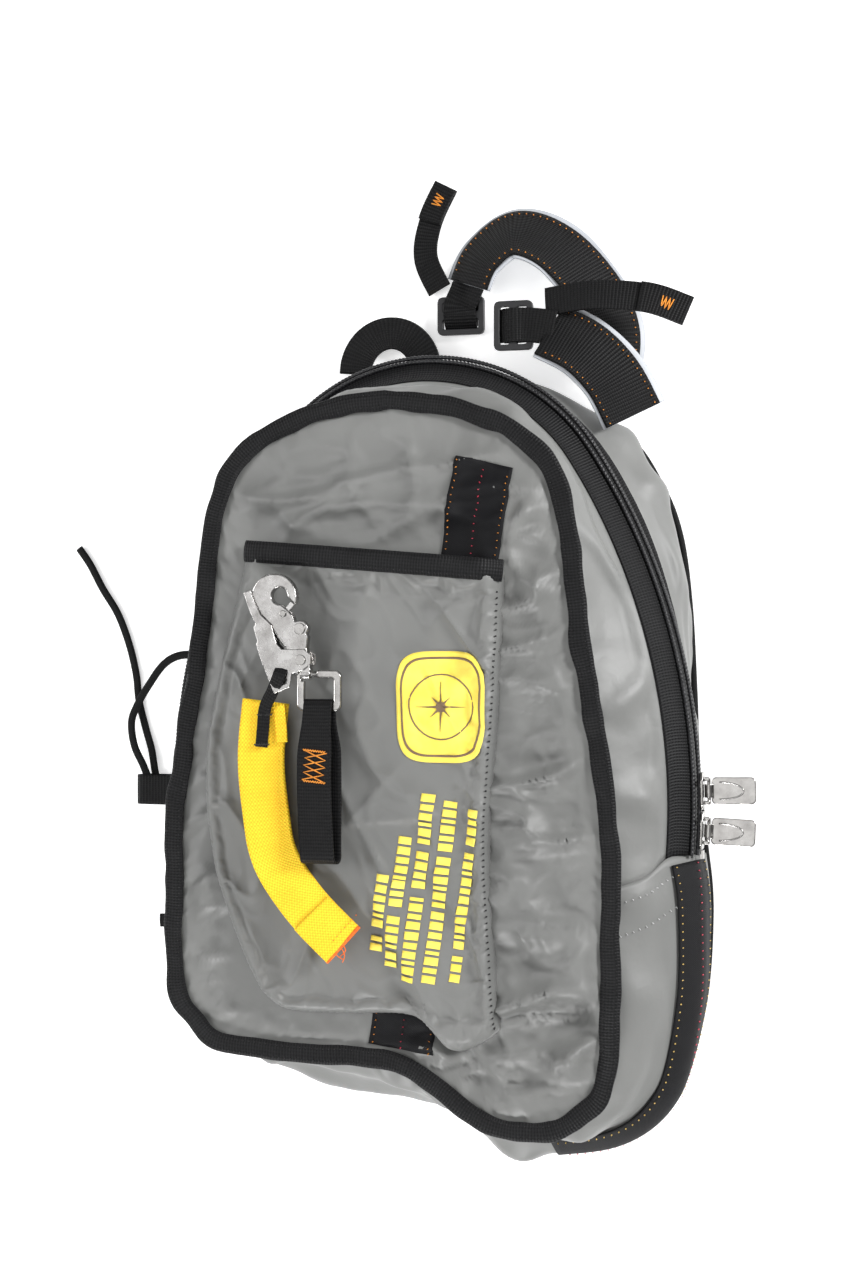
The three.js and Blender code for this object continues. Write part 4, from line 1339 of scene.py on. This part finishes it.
# ---------------------------------------------------------------- webbing
@dataclass(frozen=True)
class Ribbon:
    """A flat strap along a route. The tilt raises its left edge."""

    route: tuple
    width: float
    thickness: float
    tilt: float = 0.0
    steps: int = 60
    wobble: float = 0.0

    def rails(self) -> tuple[Grid, Grid, Grid]:
        """The centreline, and the across and upward unit vectors along it."""
        path = curve(self.route, self.steps)
        side, up = frames(path)
        lean = math.radians(self.tilt)
        return path, side * math.cos(lean) + up * math.sin(lean), up * math.cos(lean) - side * math.sin(lean)

    def points(self, low: float = -0.5, high: float = 0.5, raised: float = 0.0, columns: int = 18) -> Grid:
        """The strap's surface between two shares of its width, raised by some millimetres."""
        path, side, up = self.rails()
        share = np.linspace(high, low, columns + 1)
        run = distances(path)
        sway = np.sin(run / 11.0)[:, None] * np.abs(share)[None, :] * 2.0 * self.wobble
        crown = 0.35 * np.cos(share * math.pi) ** 2
        return (path[:, None] + side[:, None] * share[None, :, None] * self.width
                + up[:, None] * (raised + crown[None, :, None] + sway[..., None]))

    def row(self, share: float, raised: float) -> Grid:
        """A line along the strap at one share of its width."""
        path, side, up = self.rails()
        run = distances(path)
        sway = np.sin(run / 11.0) * abs(share) * 2.0 * self.wobble
        crown = 0.35 * math.cos(share * math.pi) ** 2
        return path + side * share * self.width + up * (raised + crown + sway)[:, None]

    def build(self, name: str) -> Piece:
        """The strap as one sheet with its thickness."""
        return sheet(name, self.points(raised=self.thickness), self.thickness)


def zigzag(name: str, centre: Sequence[float], along: Sequence[float], length: float, width: float,
           turns: int, thread: float = 0.7) -> Piece:
    """A sewn zigzag of thread.

    Args:
        name: The piece's name.
        centre: Its middle in millimetres.
        along: The direction that it runs in, in plan.
        length: Its length.
        width: Its width.
        turns: The number of its strokes.
        thread: The thread's thickness.

    Returns:
        The piece.
    """
    run = np.array([*along, 0.0]) / np.linalg.norm(along)
    side = np.array([run[1], -run[0], 0.0])
    knots = [np.array(centre) + run * (t / turns - 0.5) * length + side * width * (0.5 if t % 2 else -0.5)
             for t in range(turns + 1)]
    path = np.vstack([np.linspace(a, b, 5)[:-1] for a, b in zip(knots, knots[1:])] + [knots[-1][None]])
    return tube(name, path, thread, thread * 0.8, 6)


@dataclass(frozen=True)
class HookGroup:
    """The snap hook, its square link and the webbing sling that holds them."""

    sling_low: float = -46.0
    sling_high: float = 41.0
    plane: float = 118.3

    def build_metal(self) -> None:
        """The hook, keeper, lever and link, with pins and wire springs."""
        for node, voxel, passes, body, finish in (
            ("hook_body", 0.5, 5, "hook", Finish.NICKEL), ("keeper", 0.3, 3, "gate", Finish.NICKEL),
            ("release_lever", 0.34, 2, "lever", Finish.NICKEL),
            ("square_link", 0.45, 4, "link", Finish.CHROME),
        ):
            dress(forged(node, voxel, passes), finish, body, [node])
        for node in ("keeper_pin", "boss_rivet", "lever_pin"):
            body = next(b for b, e in frame["bodies"].items() if frame["nodes"][node].parent == e)
            dress(forged(node, 0.22, 2), Finish.CHROME, body, [node])
        low, high = (np.array(corner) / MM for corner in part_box("lever_spring"))
        middle = (low + high) / 2
        turn = np.linspace(0.0, 2.0 * math.pi * 4, 90)
        coil = np.column_stack([middle[0] + 2.1 * np.cos(turn), middle[1] + 2.1 * np.sin(turn),
                                low[2] + (high[2] - low[2]) * turn / turn[-1]])
        inset = (0.4, 0.6, 0.4)
        wire = tube("lever_wire_spring", np.vstack([low + inset, coil, high - inset]), 0.7, 0.7, 7)
        dress(wire, Finish.CHROME, "hook", ["lever_spring"])

    def build_sling(self) -> None:
        """The ribbed webbing loop with its crossed bartack."""
        turn = np.linspace(0.0, math.pi, 12)
        upper = [(self.sling_high + 4.0 * math.sin(t), self.plane + 4.2 * math.cos(t)) for t in turn]
        lower = [(self.sling_low - 3.9 * math.sin(t), self.plane - 4.2 * math.cos(t)) for t in turn]
        back = [(y, self.plane - 4.2) for y in np.linspace(38.0, -43.0, 30)]
        front = [(y, self.plane + 4.2) for y in np.linspace(-43.0, 38.0, 30)]
        line = np.array([*upper, *back, *lower, *front, upper[0]])
        y, z = line[:, 0], line[:, 1]
        over = smooth((z - self.plane + 4.0) / 8.0)
        narrow = smooth((y - 12.0) / 24.0)
        width = 20.6 - 3.6 * narrow
        bow = -2.0 * np.sin(np.clip((y + 46.0) / 87.0, 0.0, 1.0) * math.pi)
        middle = -48.0 + bow * over + (1.0 - over) * 1.6 * (1.0 - narrow)
        share = np.linspace(0.5, -0.5, 15)
        points = np.stack([
            middle[:, None] + share[None, :] * width[:, None],
            y[:, None] + 0 * share[None, :],
            z[:, None] + np.sin(y / 9.0)[:, None] * np.abs(share)[None, :] * 0.6,
        ], axis=-1)
        sling = sheet("sling_webbing", points, 1.4, 0.0)
        dress(sling, Finish.RIBBED, "sling_loop", ["sling"])
        top = self.plane + 5.3
        tacks = [zigzag(f"tack_{k}", (-49.6 + k, 6.5, top), (0.12, 1.0), 17.0, 13.0 * s, 4)
                 for k, s in ((0.0, 1.0), (0.3, -1.0))]
        tacks += [zigzag(f"bar_{k}", (-49.6, 6.5 + k, top), (1.0, -0.1), 13.5, 0.9, 18) for k in (-9.0, 9.0)]
        dress(joined("sling_bartack", tacks), Finish.ORANGE_THREAD, "sling_loop")

    def build_tab(self, height: Callable[[float, float], float]) -> None:
        """The orange pull tab, its sewn fold, and the black strip that ties it to the lever."""
        route = ((-83, 44), (-86, 10), (-83, -22), (-77, -49), (-59, -75), (-35, -98))
        flat = curve(route, 60)
        rest = np.array([max(height(*p) + 1.0, 112.4) for p in flat])
        rest = np.convolve(np.pad(rest, 5, "edge"), np.ones(11) / 11, "valid")
        path = np.column_stack([flat, rest])
        tab = Ribbon(tuple(map(tuple, path[::4])), 28.6, 1.7, 2.0, 90, 0.15)
        points = tab.points(raised=1.7)
        dress(sheet("tab_webbing", points, 1.7), Finish.ORANGE, "tab", ["pull_tab"])
        fold = Ribbon(tuple(map(tuple, path[50:])), 28.4, 1.4, 4.0, 16)
        folded = sheet("tab_fold", fold.points(raised=3.3), 1.3)
        lip = Ribbon(((-74, 42, 115.0), (-72.5, 30, 115.2), (-72.0, 20, 114.8)), 7.0, 1.2, -8.0, 16)
        folded = joined("tab_folds", [folded, lip.build("tab_lip")])
        dress(folded, Finish.ORANGE, "tab")
        end, side, up = (v[-1] for v in tab.rails())
        cut = np.array([end + side * s + up * 2.2 for s in np.linspace(-14.6, 14.6, 30)])
        cut += np.outer(np.sin(np.arange(30) * 1.9) * 0.35, side)
        seal = [tube("tab_seal", cut, 2.2, 3.4, 8)]
        ends = [(4, 7, -3), (6, 9, 1), (-3, 6, 4)]
        for index, (a, b, c) in enumerate(ends):
            root = end + side * (2.0 * index) + up * 1.5
            fray = curve([root, root + (a * 0.4, -b * 0.5, 0.4), root + (c * 0.7, -b, -0.8)], 12)
            seal.append(tube(f"tab_fray_{index}", fray, 0.6, 0.5, 6))
        dress(joined("tab_sealed_edge", seal), Finish.EDGE, "tab")
        row = np.array([end - (-0.5, -9.0, 0) + side * s + up * 3.6 for s in np.linspace(-13.0, 13.0, 20)])
        dress(stitches("tab_fold_stitches", row, 2.4, 1.0, 0.7, 0.6), Finish.EDGE, "tab")
        strip = Ribbon(((-84.5, 17, 116.2), (-83.4, 28, 116.5), (-82.0, 40, 116.8), (-76, 50, 120.5),
                        (-71.8, 57, 124.0), (-70.3, 60.5, 124.6), (-69.8, 62.5, 122.0), (-70.6, 60.0, 118.8),
                        (-74.5, 53.0, 116.6)), 7.4, 1.1, 0.0, 60)
        dress(strip.build("tab_strip_webbing"), Finish.RIBBED, "tab", ["tab_strip"])
        tacks = [zigzag(f"strip_tack_{k}", (-84.0 + k * 0.1, 18.5 + k, 117.6), (1.0, 0.05), 9.4, 0.9, 12)
                 for k in (0.0, 17.5)]
        dress(joined("tab_strip_stitches", tacks), Finish.BLACK_THREAD, "tab")

    def build(self, height: Callable[[float, float], float]) -> None:
        """Builds the hook group over the pocket."""
        self.build_metal()
        self.build_sling()
        self.build_tab(height)


# ---------------------------------------------------------------- straps
@dataclass(frozen=True)
class Straps:
    """Shoulder straps with their linings, tails, adjusters and the grab handle."""

    left: tuple = ((103, 249, 11.6), (104, 270, 11.6), (94, 294, 11.6), (71, 320, 11.6), (45, 331, 11.6),
                   (25, 318, 11.6), (17, 301, 11.6))
    right: tuple = ((122, 214, 36), (110, 237, 38), (93, 255, 40), (72, 266, 40))

    def lined(self, name: str, route: tuple, tilt: float, body: str, node: str, steps: int) -> None:
        """A webbing strap over a pale lining, with a row of stitches at each edge."""
        web = Ribbon(route, 37.0, 1.6, tilt, steps)
        dress(sheet(name + "_webbing", web.points(raised=3.8), 1.5), Finish.RIBBED, body, [node])
        lining = Ribbon(route, 40.0, 1.4, tilt, steps, 0.9)
        bed = lining.points(-0.5, 0.56, 1.9)
        bed[..., 2] = np.maximum(bed[..., 2], 1.8)
        under = sheet(name + "_lining", bed, 1.3)
        dress(under, Finish.LINING, body)
        rows = [stitches(f"{name}_row_{k}", web.row(share, 4.0), 3.2, 1.4, 0.9, 0.7)
                for k, share in enumerate((-0.42, 0.42))]
        dress(joined(name + "_stitches", rows), Finish.ORANGE_THREAD, body)

    def tail(self, name: str, route: tuple, width: float, tilt: float, body: str, node: str) -> None:
        """A webbing tail folded back and tacked at its end."""
        web = Ribbon(route, width, 1.3, tilt, 50, 0.25)
        fold = Ribbon(tuple(map(tuple, curve(route, 20)[13:])), width, 1.2, tilt, 20, 0.25)
        parts = [web.build(name + "_a"), sheet(name + "_b", fold.points(raised=3.0), 1.3)]
        dress(joined(name, parts), Finish.RIBBED, body, [node])
        line = curve(route, 20)
        run = (line[-1] - line[-6])[:2]
        tack = zigzag(name + "_tack", line[-4] + (0, 0, 3.9), run, 7.0, width * 0.4, 6, 0.8)
        dress(tack, Finish.ORANGE_THREAD, body)

    def build(self) -> None:
        """Builds the straps."""
        self.lined("strap_left", self.left, -35.0, "strap_left", "shoulder_strap_left", 120)
        self.lined("strap_right", self.right, -25.0, "strap_right", "shoulder_strap_right", 50)
        self.tail("tail_left_webbing", ((-6, 301, 4), (-15, 322, 4), (-12, 344, 4), (-1, 366, 5)), 16.0, 10.0,
                  "tail_left", "webbing_tail_left")
        self.tail("tail_right_webbing", ((70, 284, 40), (101, 287, 42), (132, 284, 40), (156, 275, 38)), 18.0,
                  12.0, "tail_right", "webbing_tail_right")
        through = {
            "left": ((14, 303, 8.0), (11, 296, 8.6), (8, 290, 7.6), (8, 284, 8.4), (8, 279, 6.0),
                     (8, 276.5, 2.2), (8, 284, 1.6), (9, 292, 1.8), (12, 303, 4.0)),
            "right": ((76, 268, 44.0), (66, 270, 43.6), (57, 271, 42.6), (50, 271, 43.4), (45, 271, 41.0),
                      (42.5, 271, 37.2), (50, 271, 36.6), (60, 271, 37.0), (72, 269, 39.0)),
        }
        for side, route in through.items():
            web = Ribbon(tuple(route), 20.5, 1.1, 0.0, 60)
            dress(web.build(f"adjuster_{side}"), Finish.RIBBED, f"strap_{side}")
            lock = forged(f"ladder_lock_{side}", 0.5, 4)
            dress(lock, Finish.PLASTIC, f"strap_{side}", [f"ladder_lock_{side}"])
        arch = np.linspace(0.0, math.pi, 14)
        route = tuple((-37.0 + 24.0 * math.cos(t), 249.0 + 26.0 * math.sin(t), 4.2) for t in arch)
        handle = Ribbon(route, 20.0, 3.4, 8.0, 60)
        dress(handle.build("handle_webbing"), Finish.RIBBED, "handle", ["grab_handle"])
        rows = [stitches(f"handle_row_{k}", handle.row(share, 3.5), 3.0, 1.4, 0.8, 0.5)
                for k, share in enumerate((-0.4, 0.4))]
        dress(joined("handle_stitches", rows), Finish.ORANGE_THREAD, "handle")


@dataclass(frozen=True)
class SideTapes:
    """The left side's loop and tab, and the tie tape through the loop."""

    free: tuple = ((-198, -13, 5), (-200, -5, 4.6), (-203, 8, 2.8), (-207, 21, 2.5), (-212, 40, 2.5),
                   (-214, 57, 2.5), (-219, 77, 2.5), (-227, 97, 2.5), (-238, 114, 2.5), (-247, 130, 2.5),
                   (-255, 141, 2.5))
    side: tuple = ((-164, 70, 9), (-180, 70, 9), (-192, 64, 8.6), (-203, 50, 8.2), (-211, 37, 8),
                   (-215, 26, 8), (-213, 11, 8.2), (-206.4, -2, 8.8), (-202, -12, 9))
    width: float = 5.2
    height: float = 2.2

    def tape(self, name: str, route: tuple, node: str, far_end: str, length: float) -> None:
        """A free length of flat braid.

        Args:
            name: The piece's name.
            route: The points that it follows, in millimetres.
            node: The CAD node that it stands for.
            far_end: What its far end is; not used.
            length: Its real length in metres; not used.
        """
        path = curve(route, 110)
        piece = tube(name, path, self.width, self.height, 10)
        dress(piece, Finish.BRAID, SHELL, [node])

    def build(self) -> None:
        """Builds the side pieces."""
        self.tape("tie_braid_free", self.free, "tie_tape_free", "bare", 0.168)
        self.tape("tie_braid_side", self.side, "tie_tape_side", "object", 0.115)
        turn = np.linspace(-math.pi / 2, math.pi / 2, 16)
        bend = [(-203.0 - 6.4 * math.cos(t), 8.0 + 7.0 * math.sin(t)) for t in turn]
        outline = np.array([(-168.6, 1.0), (-190.0, 1.0), *bend, (-190.0, 15.0), (-168.6, 15.0)])
        line = respace(outline, 60)
        share = np.linspace(-8.0, -27.0, 14)
        points = np.stack([line[:, 0][:, None] + 0 * share[None], 0 * line[:, :1] + share[None],
                           line[:, 1][:, None] + 0 * share[None]], axis=-1)
        dress(sheet("side_loop_webbing", points, 1.3, 0.0), Finish.RIBBED, SHELL, ["side_loop"])
        tab = Ribbon(((-169, -103, 6.6), (-182, -103, 6.8), (-195, -103.4, 6.4)), 8.6, 1.4, 0.0, 24)
        dress(tab.build("lower_tab_webbing"), Finish.RIBBED, SHELL, ["lower_tab"])


# ---------------------------------------------------------------- the studio
@dataclass(frozen=True)
class Studio:
    """A pale floor, soft lights and a camera over the bag."""

    target: tuple[float, float, float] = (-0.0157, 0.080, 0.0)
    lean: float = 15.5
    reach: float = 1.3
    lens: float = 86.3
    sensor: float = 36.0
    glow: float = 0.5
    sky: float = 0.8
    horizon: tuple[float, float, float] = (0.16, 0.16, 0.165)
    zenith: tuple[float, float, float] = (0.5, 0.5, 0.5)
    lights: tuple = (
        ("key", (1.15, 0.55, 0.7), 0.35, 22.0), ("fill", (-1.2, 0.2, 1.0), 0.7, 11.0),
        ("rim", (-0.15, -1.3, 0.65), 0.4, 16.0), ("top", (-0.1, 0.2, 2.2), 1.6, 9.0),
    )

    def area(self, name: str, place: Sequence[float], size: float, power: float) -> None:
        """A square soft light that faces the bag."""
        light = bpy.data.lights.new(name, "AREA")
        light.size, light.energy = size, power
        obj = bpy.data.objects.new(name, light)
        obj.location = place
        aim = Vector(self.target) - Vector(place)
        obj.rotation_euler = aim.to_track_quat("-Z", "Y").to_euler()
        bpy.context.collection.objects.link(obj)

    def build_camera(self) -> None:
        """The camera, which leans to the right over the bag."""
        lean = math.radians(self.lean)
        camera = bpy.data.cameras.new("camera")
        camera.lens, camera.sensor_width, camera.sensor_fit = self.lens, self.sensor, "HORIZONTAL"
        obj = bpy.data.objects.new("camera", camera)
        obj.location = Vector(self.target) + Vector((math.sin(lean), 0.0, math.cos(lean))) * self.reach
        obj.rotation_euler = (0.0, lean, 0.0)
        bpy.context.collection.objects.link(obj)
        bpy.context.scene.camera = obj

    def build_floor(self) -> None:
        """The pale floor, with a faint glow of its own."""
        deselect()
        bpy.ops.mesh.primitive_plane_add(size=12.0, location=(0.0, 0.0, 0.0))
        floor = bpy.context.object
        floor.name = "floor"
        floor.data.materials.append(Finish.FLOOR.material())
        shader = floor.active_material.node_tree.nodes["Principled BSDF"]
        shader.inputs["Emission Color"].default_value = (1.0, 1.0, 1.0, 1.0)
        shader.inputs["Emission Strength"].default_value = self.glow

    def build_sky(self) -> None:
        """A plain sky, brighter overhead than at the horizon."""
        world = bpy.data.worlds.new("studio")
        world.use_nodes = True
        tree = world.node_tree
        sky, split = tree.nodes.new("ShaderNodeTexCoord"), tree.nodes.new("ShaderNodeSeparateXYZ")
        ramp = tree.nodes.new("ShaderNodeValToRGB")
        tree.links.new(sky.outputs["Generated"], split.inputs[0])
        tree.links.new(split.outputs["Z"], ramp.inputs["Fac"])
        tree.links.new(ramp.outputs["Color"], tree.nodes["Background"].inputs["Color"])
        low, high = ramp.color_ramp.elements
        low.color, high.color = (*self.horizon, 1.0), (*self.zenith, 1.0)
        low.position, high.position = 0.12, 0.95
        tree.nodes["Background"].inputs["Strength"].default_value = self.sky
        bpy.context.scene.world = world

    def build(self) -> None:
        """Builds the studio."""
        self.build_camera()
        self.build_floor()
        self.build_sky()
        for light in self.lights:
            self.area(*light)
        bpy.context.scene.view_settings.view_transform = "Standard"


def main() -> None:
    """Builds the bag's pieces in order."""
    logging.basicConfig(level=logging.INFO, format="%(name)s %(message)s")
    Studio().build()
    SideTapes().build()
    Shell().build()
    Flap().build()
    Zip().build()
    height = Pocket().build()
    HookGroup().build(height)
    Straps().build()
    deselect()


if __name__ == "__main__":
    main()
